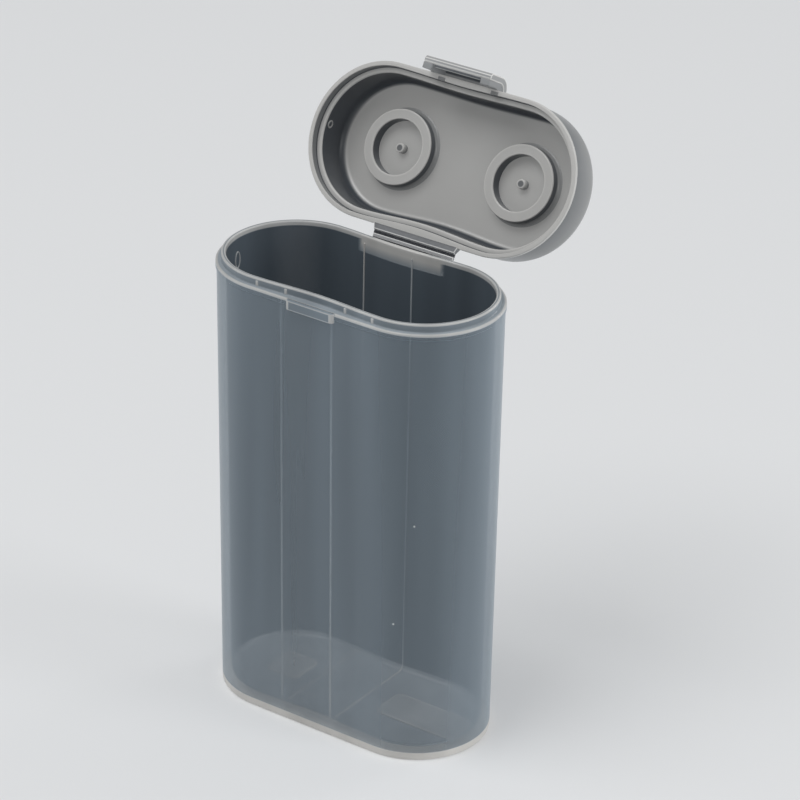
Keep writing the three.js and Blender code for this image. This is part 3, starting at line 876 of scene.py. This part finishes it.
# %% Hinge flanges
HINGE_WIDTH = 13.66
FLANGE_SETBACK = 0.24
FLANGE_TAPER = 0.7
FLANGE_CHAMFER = 0.2
FLANGE_BAND = 0.36
FLANGE_ROOT = 0.3
FLANGE_SPLAY = 0.35
FLANGE_EDGE = 0.06
FLANGE_GLOW = 0.1
LID_FLANGE_HEIGHT = 1.1

flange_edge = hinge_reach - FLANGE_SETBACK
flange_back = bead_radius - FLANGE_ROOT
half_width = HINGE_WIDTH / 2


def flange(name, section, place=None):
    """A run of a (y, z) section whose ends spread towards the rim it is rooted in."""
    sides = (-1, 1)
    points = []
    for side in sides:
        for y, z in section:
            share = (flange_edge - y) / (flange_edge - flange_back)
            points.append((side * (half_width + FLANGE_SPLAY * share ** 2), y, z))
    faces = capped(len(sides), len(section))
    # The bevel strips keep the bright look, a painted highlight, and the faces get a little painted shade.
    piece = new_piece(name, points, faces, [EDGE] * len(points), place)
    rounded(piece, FLANGE_EDGE, FLANGE_GLOW, SOFT_PLATE)
    return piece


section = [
    (flange_back, rim_bottom), (flange_edge - FLANGE_TAPER, rim_bottom),
    (flange_edge, lower_fold.z - FLANGE_BAND / 2), (flange_edge, lower_fold.z + FLANGE_BAND / 2),
    (flange_edge - FLANGE_CHAMFER, LEDGE_HEIGHT), (flange_back, LEDGE_HEIGHT)]
case_flange = flange("case_flange_skin", section)
section = [
    (flange_back, 0), (flange_edge - FLANGE_CHAMFER, 0),
    (flange_edge, FOLD_RISE - FLANGE_BAND / 2), (flange_edge, FOLD_RISE + FLANGE_BAND / 2),
    (flange_edge - FLANGE_TAPER, LID_FLANGE_HEIGHT), (flange_back, LID_FLANGE_HEIGHT)]
lid_flange = flange("lid_flange_skin", section, lid_place)
print("flanges:", HINGE_WIDTH, "mm wide")

# %% [markdown]
# ## The strip
#
# The stiff strip leans from the lower fold to the upper one. Its section is laid out along
# that line instead of in upright numbers, so it stays right if the CAD's folds move.

# %% Hinge strip
STRIP_LENGTH = 1
STRIP_THICKNESS = 0.5
STRIP_EDGE = 0.14
LOWER_FILM_REACH = 0.34
UPPER_FILM_REACH = 0.18
FILM_OVERLAP = 0.03

along = (upper_fold - lower_fold).normalized()
outward = Vector((0, along.z, -along.y))


def on_strip(distance, side):
    """A (y, z) point of the strip, along it from the lower fold and out from its middle."""
    point = lower_fold + along * distance + outward * side
    return (point.y, point.z)


strip_start = LOWER_FILM_REACH - FILM_OVERLAP
strip_end = STRIP_LENGTH - UPPER_FILM_REACH + FILM_OVERLAP
half = STRIP_THICKNESS / 2
section = [on_strip(strip_start, -half), on_strip(strip_start, half),
           on_strip(strip_end, half), on_strip(strip_end, -half)]
hinge_strip = prism("hinge_strip_skin", section, "x", -half_width, half_width)
rounded(hinge_strip, STRIP_EDGE, FLANGE_GLOW, PLATE)
hinge_parts = [
    (case_flange, "case", "case_hinge_flange"), (lid_flange, "lid", "lid_hinge_flange"),
    (hinge_strip, "strip", "hinge_strip")]
for obj, body, node in hinge_parts:
    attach(obj, body)
    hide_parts(node)
    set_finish(obj, "hinge_plastic")
print("hinge strip:", STRIP_LENGTH, "mm from fold to fold")

# %% [markdown]
# ## The films
#
# The films bend, so they aren't tied to one body: each blends from the piece on one side of
# its fold to the piece on the other. A film follows a quadratic Bezier curve that is pulled
# towards the fold line, and it has enough rows to bend smoothly when the lid moves.

# %% Hinge films
FILM_THICKNESS = 0.3
FILM_ROWS = 10


def film(name, start, fold, end):
    """A thin web that curves from start to end, as if drawn round the fold line."""
    rows = []
    for step in range(FILM_ROWS + 1):
        run = step / FILM_ROWS
        point = start * (1 - run) ** 2 + fold * 2 * run * (1 - run) + end * run ** 2
        heading = ((fold - start) * (1 - run) + (end - fold) * run).normalized()
        side = Vector((0, heading.z, -heading.y)) * FILM_THICKNESS / 2
        outer, inner = point + side, point - side
        rows.append([
            (-half_width, outer.y, outer.z), (half_width, outer.y, outer.z),
            (half_width, inner.y, inner.z), (-half_width, inner.y, inner.z)])
    points = [point for row in rows for point in row]
    faces = capped(len(rows), len(rows[0]))
    # A film gets full painted shade, for the dark fold.
    return new_piece(name, points, faces, [DEEP_SHADE] * len(points))


case_root = Vector((0, flange_edge - FILM_OVERLAP, lower_fold.z))
lid_root = lid_place @ Vector((0, flange_edge - FILM_OVERLAP, FOLD_RISE))
strip_foot = lower_fold + along * LOWER_FILM_REACH
strip_head = upper_fold - along * UPPER_FILM_REACH
lower_film = film("hinge_film_lower_skin", case_root, lower_fold, strip_foot)
upper_film = film("hinge_film_upper_skin", strip_head, upper_fold, lid_root)
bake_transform(lower_film, "case", "strip", start=case_root * MM, end=strip_foot * MM)
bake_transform(upper_film, "strip", "lid", start=strip_head * MM, end=lid_root * MM)
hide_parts("hinge_film_lower")
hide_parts("hinge_film_upper")
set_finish(lower_film, "hinge_plastic")
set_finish(upper_film, "hinge_plastic")
print("films made with", FILM_ROWS, "rows each")

# %% [markdown]
# ## The latch
#
# The latch is a hood on the lid's front edge: a plate that turns down over the catch bar,
# closed by a cheek at each end, with a ridge inside that snaps under the bar. The plate's
# edges are painted highlight lines, its outer faces are milky, and the side towards the bar
# gets painted shade. A bent sheet with a solidify modifier would do, but one closed section
# sets both bends.

# %% Latch hood
HOOD_WIDTH = 11.25
HOOD_PROUD = 1.95
HOOD_RISE = 2.8
HOOD_DROP = 2.5
HOOD_WALL = 0.95
HOOD_SHOULDER = 2.2
HOOD_LEAD = 0.35
HOOD_EDGE = 0.1
HOOD_GLOW = 0.12
HOOD_ROOT = 0.15
HOOD_FACE = (0.42, 0)

wall_face = -lid_radius
hood_front = -bead_radius - HOOD_PROUD
hood_back = hood_front + HOOD_WALL
hood_root = wall_face + HOOD_ROOT
shoulder = (hood_front + HOOD_SHOULDER, HOOD_RISE - HOOD_SHOULDER)
inner_bend = HOOD_SHOULDER - HOOD_WALL


def bend(radius, start, end):
    """Points of the hood's round shoulder."""
    return [(y, z) for y, z, _ in arc(shoulder, radius, start, end, WALL, SHOULDER_STEPS)]


section = [(hood_front + HOOD_LEAD, -HOOD_DROP), (hood_back - HOOD_LEAD / 2, -HOOD_DROP)]
section.append((hood_back, -HOOD_DROP + HOOD_LEAD / 2))
section += bend(inner_bend, 2, 1)
section += [(hood_root, HOOD_RISE - HOOD_WALL), (hood_root, HOOD_RISE)]
section += bend(HOOD_SHOULDER, 1, 2)
section.append((hood_front, -HOOD_DROP + HOOD_LEAD))
inward = lid_turn.to_3x3() @ Vector((0, 1, 0))
hood = prism(
    "latch_hood_skin", section, "x", -HOOD_WIDTH / 2, HOOD_WIDTH / 2, lid_place, look=HAIRLINE)
rounded(hood, HOOD_EDGE, HOOD_GLOW, HOOD_FACE, shade_side=inward)
latch_bends = {hood: "latch_hood"}
print("hood:", HOOD_WIDTH, "mm wide")

# %% [markdown]
# ## The cheeks
#
# A cheek fills the corner between the plate and the lid at each end of the hood. It touches
# the lid's bead, but below the rim it stops short of the case's bead, which has to pass when
# the lid shuts. The latch springs outward as the lid is opened, so the plate and the cheeks
# bend from the lid's body to the latch's.

# %% Latch cheeks
CHEEK_WIDTH = 1.525
CHEEK_OVERLAP = 0.02
CHEEK_GAP = 0.12
CHEEK_LEAD = 0.05

over_bead = -bead_radius - CHEEK_GAP
on_bead = CHEEK_OVERLAP - bead_radius
section = [
    (hood_back - CHEEK_OVERLAP, CHEEK_LEAD - HOOD_DROP), (over_bead, CHEEK_LEAD - HOOD_DROP),
    (over_bead, -CHEEK_GAP), (on_bead, 0), (on_bead, LID_BEAD_HEIGHT),
    (hood_root, LID_BEAD_HEIGHT + CHEEK_GAP), (hood_root, HOOD_RISE - HOOD_WALL + CHEEK_OVERLAP)]
section += bend(inner_bend + CHEEK_OVERLAP, 1, 2)
for side, name in ((-1, "left"), (1, "right")):
    ends = sorted((side * HOOD_WIDTH / 2, side * (HOOD_WIDTH / 2 - CHEEK_WIDTH)))
    cheek = prism("latch_cheek_skin_" + name, section, "x", *ends, lid_place, look=PLATE)
    rounded(cheek, HOOD_EDGE, HOOD_GLOW, PLATE)
    latch_bends[cheek] = "latch_cheek_" + name

for obj, node in latch_bends.items():
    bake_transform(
        obj, "lid", "latch",
        start=(lid_place @ Vector((0, wall_face, HOOD_RISE))) * MM,
        end=(lid_place @ Vector((0, hood_back, HOOD_RISE))) * MM)
    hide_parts(node)
    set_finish(obj, "latch_plastic")
print("pieces that bend with the latch:", len(latch_bends))

# %% [markdown]
# ## The hook
#
# The ridge inside the hood is as wide as the catch bar. Its lower side is a long slope that
# rides over the bar, and its upper side is short and holds. It rides on the latch alone.

# %% Latch hook
HOOK_HEIGHT = 0.7
HOOK_FOOT = 0.2
HOOK_TIP = 0.4
HOOK_EDGE = 0.06
HOOK_NOSE_SHARES = (0.5, 0.75)

low = HOOK_FOOT - HOOD_DROP
tip = hood_back + HOOK_TIP
nose_low, nose_high = (low + HOOK_HEIGHT * share for share in HOOK_NOSE_SHARES)
section = [
    (hood_back - CHEEK_OVERLAP, low), (tip, nose_low),
    (tip, nose_high), (hood_back - CHEEK_OVERLAP, low + HOOK_HEIGHT)]
hook = prism("latch_hook_skin", section, "x", -BAR_WIDTH / 2, BAR_WIDTH / 2, lid_place)
# The hook gets painted shade, as it lies inside the hood.
rounded(hook, HOOK_EDGE, HOOK_EDGE, SHADED)
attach(hook, "latch")
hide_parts("latch_hook")
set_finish(hook, "latch_plastic")
print("hook:", BAR_WIDTH, "mm wide")

# %% [markdown]
# ## Gate rings
#
# Real mouldings carry little marks. At the left end, inside the case and inside the lid, is
# the ring that the gate left, where the plastic flowed in. It is tall on the case and round
# on the lid. A curve with a bevel could draw it, but a tube whose middle line follows the
# wall's own curve stays half sunk in the wall all round.

# %% Gate rings
GATE_TUBE = 0.13
GATE_TUBE_STEPS = 8
GATES = {
    "gate_ring_case": {"body": "case", "slot": "case_plastic", "place": None,
                       "at": (-0.8, 64.4), "half_width": 0.55, "half_height": 1.2},
    "gate_ring_lid": {"body": "lid", "slot": "lid_plastic", "place": lid_place,
                      "at": (-0.3, 2.55), "half_width": 0.48, "half_height": 0.48},
}

for name, gate in GATES.items():
    points = []
    for step in range(TURN_STEPS):
        angle = 2 * math.pi * step / TURN_STEPS
        for turn_step in range(GATE_TUBE_STEPS):
            roll = 2 * math.pi * turn_step / GATE_TUBE_STEPS
            swell = GATE_TUBE * math.cos(roll)
            y = gate["at"][0] + (gate["half_width"] + swell) * math.cos(angle)
            z = gate["at"][1] + (gate["half_height"] + swell) * math.sin(angle)
            wall = math.sqrt(bore_top ** 2 - y ** 2)
            points.append((GATE_TUBE * math.sin(roll) - END_SPACING / 2 - wall, y, z))
    faces = joined(TURN_STEPS, GATE_TUBE_STEPS)
    # The ring's light look is partly painted highlight.
    ring = new_piece(name, points, faces, [SOFT_LINE] * len(points), gate["place"])
    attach(ring, gate["body"])
    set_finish(ring, gate["slot"])
print("gate rings:", len(GATES))

# %% [markdown]
# ## Specks
#
# Two specks sit on the front wall, and each is a tiny lump with its middle on the surface. A
# dot in the material would be flat, and would need a way to find its place on the wall.

# %% Specks
SPECK_RADIUS = 0.14
SPECK_DETAIL = 2
SPECK_PLACES = {"speck_upper": (16.42, 37.92), "speck_lower": (13.89, 22.07)}

for name, (x, z) in SPECK_PLACES.items():
    sculpt = bmesh.new()
    bmesh.ops.create_icosphere(sculpt, subdivisions=SPECK_DETAIL, radius=SPECK_RADIUS)
    depth = math.sqrt(case_radius(z) ** 2 - (x - END_SPACING / 2) ** 2)
    points = [vert.co + Vector((x, -depth, z)) for vert in sculpt.verts]
    faces = [[vert.index for vert in face.verts] for face in sculpt.faces]
    sculpt.free()
    speck = new_piece(name, points, faces, [EDGE] * len(points))
    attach(speck, "case")
    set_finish(speck, "case_plastic")
print("specks:", len(SPECK_PLACES))

# %% [markdown]
# ## Notches
#
# The lid's rim has two short notches near the snap ribs. They are so shallow that a cut
# would hardly show, so each is a plate with painted shade, set almost flush into the rim.

# %% Notches
NOTCH_PLACES = {"snap_notch_left": -3.5, "snap_notch_right": 5.4}
NOTCH_WIDTH = 1.2
NOTCH_SPAN = 0.5
NOTCH_PROUD = 0.02
NOTCH_SHADE = (0.4, 0.35)

for name, x in NOTCH_PLACES.items():
    back = drawn_in(LID_FRONT_PINCH, x) - rebate_radius
    shape = rectangle(x - NOTCH_WIDTH / 2, back - NOTCH_SPAN, x + NOTCH_WIDTH / 2, back)
    notch = prism(name, shape, "z", -NOTCH_PROUD, REBATE_DEPTH / 2, lid_place, look=NOTCH_SHADE)
    rounded(notch, NOTCH_PROUD, NOTCH_PROUD, NOTCH_SHADE)
    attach(notch, "lid")
    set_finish(notch, "lid_plastic")
print("notches:", len(NOTCH_PLACES))

# %% [markdown]
# ## Where the hinge shines through
#
# Behind the back wall's rim stands the thick case flange. Real plastic glows there, because
# the light meets more of it. The shell is one skin, so the points of its bore in front of
# the flange get a thicker look, and those of the lip above it get the brightest.

# %% Thicker places
SHINE = (1.2, 0)
GLOW = (0.4, 0.3)


def relook(obj, low, high, look):
    """Gives the points in a box, in millimetres, another look."""
    for index, vertex in enumerate(obj.data.vertices):
        point = vertex.co / MM
        if all(a <= value <= b for a, value, b in zip(low, point, high)):
            obj.data.attributes[THICK_AND_HIGHLIGHT].data[index].value = look[0]
            obj.data.attributes[PAINTED_SHADE].data[index].value = look[1]


just_below = rim_bottom - LOOK_STEP / 2
ledge_line = LEDGE_HEIGHT - LOOK_STEP
relook(case_shell, (-half_width, 0, just_below), (half_width, bore_top, ledge_line), GLOW)
relook(case_shell, (-half_width, 0, ledge_line), (half_width, bore_top, lip_top), SHINE)
print("thicker places set")

# %% [markdown]
# ## Frosted polypropylene
#
# Natural polypropylene is neither glass nor paint. Light scatters inside it, so a thin
# wall looks like grey mist that things behind it show through, and thick edges turn
# brighter and less clear. Real refraction and scattering could do it, but through a dozen
# stacked walls that is slow and grainy. So the wall is part clear: Alpha sets how much
# of the surface is mist. The looks stored on the points choose the colour, with its painted
# highlight and painted shade, and the cover, and a grazing look meets more plastic, which
# Layer Weight's facing value gives.
#
# Two more things keep it like the real plastic. The hollow looks dense from inside the cup,
# but through the outer wall it is only a thin veil, which Backfacing tells apart. And mist
# passes on most of the light that it scatters, so a shadow ray meets a thinner wall.
#
# Two effects are shared by all the finishes, so each is a node group: the faint cloud and
# flow streaks of the moulding, and the fine handling marks that roughen its gloss.

# %% Node helpers


def new_group(name, inputs, outputs):
    """A shader node group with float inputs and outputs."""
    group = bpy.data.node_groups.new(name, "ShaderNodeTree")
    for label, value in inputs.items():
        socket = group.interface.new_socket(label, in_out="INPUT", socket_type="NodeSocketFloat")
        socket.default_value = value
    for label in outputs:
        group.interface.new_socket(label, in_out="OUTPUT", socket_type="NodeSocketFloat")
    return group, group.nodes.new("NodeGroupInput"), group.nodes.new("NodeGroupOutput")


def add(tree, kind, settings=None, **values):
    """A node with its settings and plain socket values."""
    node = tree.nodes.new("ShaderNode" + kind)
    for key, value in (settings or {}).items():
        setattr(node, key, value)
    for key, value in values.items():
        node.inputs[key.replace("_", " ")].default_value = value
    return node


def stretched(tree, squeeze):
    """Object coordinates squeezed along Z, so that what they drive runs up and down."""
    place = add(tree, "TexCoord")
    mapping = add(tree, "Mapping")
    mapping.inputs["Scale"].default_value = (1, 1, squeeze)
    tree.links.new(place.outputs["Object"], mapping.inputs["Vector"])
    return mapping.outputs["Vector"]


print("node helpers ready")

# %% [markdown]
# ## Cloud in the moulding
#
# Plastic that flowed into a mould keeps a faint cloud, with streaks along the flow. A noise
# that is stretched along Z gives both. The group turns it into a tone round one, by which
# the colour is multiplied, and its strength says how far the tone strays.

# %% Moulding cloud
CLOUD_STRENGTH = 0.1
CLOUD_SCALE = 130
CLOUD_DETAIL = 2
CLOUD_ROUGHNESS = 0.5
CLOUD_MIDDLE = 0.5
FLOW_SQUEEZE = 0.06

cloud, cloud_in, cloud_out = new_group(
    "Moulding cloud", {"Strength": CLOUD_STRENGTH, "Scale": CLOUD_SCALE}, ["Tone"])
noise = add(cloud, "TexNoise", Detail=CLOUD_DETAIL, Roughness=CLOUD_ROUGHNESS)
cloud.links.new(stretched(cloud, FLOW_SQUEEZE), noise.inputs["Vector"])
cloud.links.new(cloud_in.outputs["Scale"], noise.inputs["Scale"])
centred = add(cloud, "Math", {"operation": "SUBTRACT"})
centred.inputs[1].default_value = CLOUD_MIDDLE
cloud.links.new(noise.outputs["Fac"], centred.inputs[0])
scaled = add(cloud, "Math", {"operation": "MULTIPLY_ADD"})
scaled.inputs[2].default_value = 1
cloud.links.new(centred.outputs[0], scaled.inputs[0])
cloud.links.new(cloud_in.outputs["Strength"], scaled.inputs[1])
cloud.links.new(scaled.outputs[0], cloud_out.inputs["Tone"])
print("group made:", cloud.name)

# %% [markdown]
# ## Handling marks
#
# A case that is used picks up fine scuffs. Only the peaks of a stretched noise count as
# marks, and a steep smooth step picks them out. They dull the gloss and feed a faint bump.

# %% Handling marks
MARK_AMOUNT = 0.5
MARK_SCALE = 700
MARK_DETAIL = 2
MARK_ROUGHNESS = 0.6
MARK_DISTORTION = 0.4
MARK_SQUEEZE = 0.08
MARK_START = 0.66
MARK_END = 0.8

marks, marks_in, marks_out = new_group(
    "Handling marks", {"Amount": MARK_AMOUNT, "Scale": MARK_SCALE}, ["Height", "Dull"])
lines = add(
    marks, "TexNoise", Detail=MARK_DETAIL, Roughness=MARK_ROUGHNESS, Distortion=MARK_DISTORTION)
marks.links.new(stretched(marks, MARK_SQUEEZE), lines.inputs["Vector"])
marks.links.new(marks_in.outputs["Scale"], lines.inputs["Scale"])
cut_off = add(marks, "MapRange", {"interpolation_type": "SMOOTHSTEP"})
cut_off.inputs["From Min"].default_value = MARK_START
cut_off.inputs["From Max"].default_value = MARK_END
marks.links.new(lines.outputs["Fac"], cut_off.inputs["Value"])
dull = add(marks, "Math", {"operation": "MULTIPLY"})
marks.links.new(cut_off.outputs["Result"], dull.inputs[0])
marks.links.new(marks_in.outputs["Amount"], dull.inputs[1])
marks.links.new(dull.outputs[0], marks_out.inputs["Dull"])
marks.links.new(cut_off.outputs["Result"], marks_out.inputs["Height"])
print("group made:", marks.name)

# %% [markdown]
# ## The colour at each point
#
# The colour goes from the thin wall's to a bright edge's, which is partly painted highlight,
# by the first value, and from there to the dark of painted shade by the second. The cloud
# then changes its tone a little.

# %% Colour of the plastic


def blended(tree, factor, kind, a, b):
    """Mixes two values or colours, each a plain value or a socket."""
    mix = add(tree, "Mix", {"data_type": kind, "clamp_factor": False})
    for label, value in (("A", a), ("B", b)):
        socket = next(s for s in mix.inputs if s.name == label and s.enabled)
        if isinstance(value, bpy.types.NodeSocket):
            tree.links.new(value, socket)
        else:
            socket.default_value = value
    tree.links.new(factor, mix.inputs["Factor"])
    return next(s for s in mix.outputs if s.enabled)


def clouded_colour(tree, thick_and_highlight, painted_shade, colours, cloudiness):
    """The colour at a look, with its painted highlight and shade and the faint cloud of the moulding."""
    thin_colour, edge_highlight_colour, shade_colour = ((*colour, 1) for colour in colours)
    colour = blended(tree, thick_and_highlight, "RGBA", thin_colour, edge_highlight_colour)
    colour = blended(tree, painted_shade, "RGBA", colour, shade_colour)
    tone = add(tree, "Group", {"node_tree": cloud})
    tone.inputs["Strength"].default_value = cloudiness
    clouded = add(tree, "Mix", {"data_type": "RGBA", "blend_type": "MULTIPLY"})
    clouded.inputs["Factor"].default_value = 1
    tree.links.new(colour, clouded.inputs["A"])
    tree.links.new(tone.outputs["Tone"], clouded.inputs["B"])
    return clouded.outputs["Result"]


print("colour helpers ready")

# %% [markdown]
# ## The cover at each point
#
# The cover is how much of the surface is mist. A thick point hides more, but from half way on
# it hides no more. A point with painted shade is dense from inside the cup and a thin veil
# from behind. A grazing look adds to the cover, and a shadow ray meets only a share of it.

# %% Cover of the plastic
DENSE_AT = 0.5
VEIL_COVER = 0.08
GRAZING_BLEND = 0.3
SHADOW_SHARE = 0.3


def mist(tree, thick_and_highlight, painted_shade, covers, grazing):
    """How much of the surface is mist at a look."""
    thin_cover, edge_cover, deep_cover = covers
    hide = add(tree, "MapRange")
    hide.inputs["From Max"].default_value = DENSE_AT
    hide.inputs["To Min"].default_value = thin_cover
    hide.inputs["To Max"].default_value = edge_cover
    tree.links.new(thick_and_highlight, hide.inputs["Value"])
    from_behind = add(tree, "NewGeometry").outputs["Backfacing"]
    deep = blended(tree, from_behind, "FLOAT", deep_cover, VEIL_COVER)
    cover = blended(tree, painted_shade, "FLOAT", hide.outputs["Result"], deep)
    facing = add(tree, "LayerWeight", Blend=GRAZING_BLEND)
    denser = add(tree, "Math", {"operation": "MULTIPLY_ADD", "use_clamp": True})
    denser.inputs[1].default_value = grazing
    tree.links.new(facing.outputs["Facing"], denser.inputs[0])
    tree.links.new(cover, denser.inputs[2])
    passing = blended(
        tree, add(tree, "LightPath").outputs["Is Shadow Ray"], "FLOAT", 1, SHADOW_SHARE)
    dimmed = add(tree, "Math", {"operation": "MULTIPLY"})
    tree.links.new(denser.outputs[0], dimmed.inputs[0])
    tree.links.new(passing, dimmed.inputs[1])
    return dimmed.outputs[0]


print("cover helper ready")

# %% [markdown]
# ## The finish
#
# One function puts the parts together, so that the four finishes differ only in numbers. The
# index of refraction is the same all over, so it is set on the shader's own socket. The
# handling marks go on last, as roughness and as a bump a hundredth of a millimetre deep.

# %% Frosted finish
SKIN_IOR = 1.49
BUMP_DISTANCE = 0.00001


def add_marks(tree, shader, roughness, marking):
    """Gloss that the handling marks roughen and dent."""
    scuffs = add(tree, "Group", {"node_tree": marks})
    scuffs.inputs["Amount"].default_value = marking
    gloss = add(tree, "Math", {"operation": "ADD"})
    gloss.inputs[1].default_value = roughness
    tree.links.new(scuffs.outputs["Dull"], gloss.inputs[0])
    tree.links.new(gloss.outputs[0], shader.inputs["Roughness"])
    bump = add(tree, "Bump", Strength=marking, Distance=BUMP_DISTANCE)
    tree.links.new(scuffs.outputs["Height"], bump.inputs["Height"])
    tree.links.new(bump.outputs["Normal"], shader.inputs["Normal"])


def frosted(name, colours, covers, grazing, roughness, cloudiness, marking):
    """Milky plastic: colours and covers are those of the thin wall, a bright edge with painted highlight,
    and painted shade.
    """
    material = bpy.data.materials.new(name)
    material.use_nodes = True
    tree = material.node_tree
    shader = tree.nodes["Principled BSDF"]
    shader.inputs["IOR"].default_value = SKIN_IOR
    thick_and_highlight = add(tree, "Attribute", {"attribute_name": THICK_AND_HIGHLIGHT}).outputs["Fac"]
    painted_shade = add(tree, "Attribute", {"attribute_name": PAINTED_SHADE}).outputs["Fac"]
    colour = clouded_colour(tree, thick_and_highlight, painted_shade, colours, cloudiness)
    tree.links.new(colour, shader.inputs["Base Color"])
    cover = mist(tree, thick_and_highlight, painted_shade, covers, grazing)
    tree.links.new(cover, shader.inputs["Alpha"])
    add_marks(tree, shader, roughness, marking)
    return material


print("frosted finish ready")

# %% [markdown]
# ## Four finishes
#
# These numbers were tuned until a render came close to the photo. The case is the clearest
# and bluest, the lid is denser and warmer, the latch is paler than the lid, and the hinge has
# the brightest painted highlight on its edges and the darkest painted shade in its folds.

# %% Finishes of the slots
finishes = {
    "case_plastic": frosted(
        "Frosted case wall",
        colours=((0.225, 0.277, 0.322), (0.46, 0.465, 0.46), (0.085, 0.105, 0.125)),
        covers=(0.37, 0.85, 0.92), grazing=0.85, roughness=0.3, cloudiness=0.8, marking=0.03),
    "lid_plastic": frosted(
        "Frosted lid",
        colours=((0.14, 0.15, 0.16), (0.53, 0.525, 0.51), (0.045, 0.052, 0.062)),
        covers=(0.7, 0.9, 0.9), grazing=0.5, roughness=0.28, cloudiness=0.08, marking=0.03),
    "latch_plastic": frosted(
        "Frosted latch",
        colours=((0.2, 0.215, 0.23), (0.62, 0.62, 0.61), (0.05, 0.065, 0.085)),
        covers=(0.6, 0.85, 0.88), grazing=0.3, roughness=0.26, cloudiness=0.1, marking=0.03),
    "hinge_plastic": frosted(
        "Hinge plastic with painted light and shade",
        colours=((0.15, 0.16, 0.175), (0.8, 0.8, 0.79), (0.012, 0.014, 0.02)),
        covers=(0.7, 0.9, 0.95), grazing=0.3, roughness=0.22, cloudiness=0.14, marking=0.03),
}
print("finishes:", ", ".join(material.name for material in finishes.values()))

# %% [markdown]
# ## Dressing the pieces
#
# Each piece already names the slot that it takes its finish from, so one loop can dress
# them all. The CAD solids that stay hidden get their body's finish, in case they are shown.

# %% Put the finishes on
slot_of_body = {
    "case": "case_plastic", "strip": "hinge_plastic", "lid": "lid_plastic",
    "latch": "latch_plastic"}
for body, members in frame["record"]["behaviour"]["bodies"].items():
    for name in members:
        node = frame["nodes"][name]
        node.data.materials.clear()
        node.data.materials.append(finishes[slot_of_body[body]])
dressed = 0
for obj in bpy.data.objects:
    if obj.type == "MESH" and "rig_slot" in obj:
        obj.data.materials.clear()
        obj.data.materials.append(finishes[obj["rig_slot"]])
        dressed += 1
print("dressed", dressed, "pieces")

# %% [markdown]
# ## The floor
#
# The case stands on a plain pale floor that reaches past every view. It lies a hair below
# the case's base, so the two faces don't flicker through each other.

# %% Floor
FLOOR_SIZE = 8
FLOOR_DROP = 0.00004
FLOOR_COLOUR = (0.78, 0.79, 0.80, 1)
FLOOR_ROUGHNESS = 0.7

mesh = bpy.data.meshes.new("floor")
edge = FLOOR_SIZE / 2
mesh.from_pydata(
    [(-edge, -edge, -FLOOR_DROP), (edge, -edge, -FLOOR_DROP),
     (edge, edge, -FLOOR_DROP), (-edge, edge, -FLOOR_DROP)], [], [(0, 1, 2, 3)])
floor = bpy.data.objects.new("floor", mesh)
bpy.context.scene.collection.objects.link(floor)
floor_paint = bpy.data.materials.new("Plain pale floor")
floor_paint.use_nodes = True
floor_shader = floor_paint.node_tree.nodes["Principled BSDF"]
floor_shader.inputs["Base Color"].default_value = FLOOR_COLOUR
floor_shader.inputs["Roughness"].default_value = FLOOR_ROUGHNESS
floor.data.materials.append(floor_paint)
print("floor:", FLOOR_SIZE, "m wide")

# %% [markdown]
# ## Light
#
# A large soft lamp hangs above, and three weaker ones at the sides lighten the flanks of the
# round ends. A dim pale world fills the shadows. A sky texture would be quicker, but it would
# colour the pale plastic.

# %% Lamps and world
LAMPS = {
    "overhead": {"at": (-0.4, -0.7, 1.7), "size": 1.2, "power": 20},
    "left_side": {"at": (-1.4, -0.65, 0.45), "size": 0.6, "power": 1.5},
    "right_side": {"at": (1.35, 0.3, 0.45), "size": 0.6, "power": 8},
    "back_side": {"at": (0.6, 1.4, 0.5), "size": 0.6, "power": 4},
}
WORLD_COLOUR = (0.86, 0.87, 0.88, 1)
WORLD_STRENGTH = 0.35

aim = Vector((0, 0, LEDGE_HEIGHT / 2)) * MM
for name, lamp in LAMPS.items():
    light = bpy.data.lights.new(name, "AREA")
    light.shape = "DISK"
    light.size = lamp["size"]
    light.energy = lamp["power"]
    holder = bpy.data.objects.new(name, light)
    place = Vector(lamp["at"])
    holder.location = place
    holder.rotation_euler = (aim - place).to_track_quat("-Z", "Y").to_euler()
    bpy.context.scene.collection.objects.link(holder)

world = bpy.data.worlds.new("studio")
world.use_nodes = True
world.node_tree.nodes["Background"].inputs["Color"].default_value = WORLD_COLOUR
world.node_tree.nodes["Background"].inputs["Strength"].default_value = WORLD_STRENGTH
bpy.context.scene.world = world
bpy.context.scene.view_settings.view_transform = "Standard"
print("lamps:", ", ".join(LAMPS))

# %% End
print("end of the script")
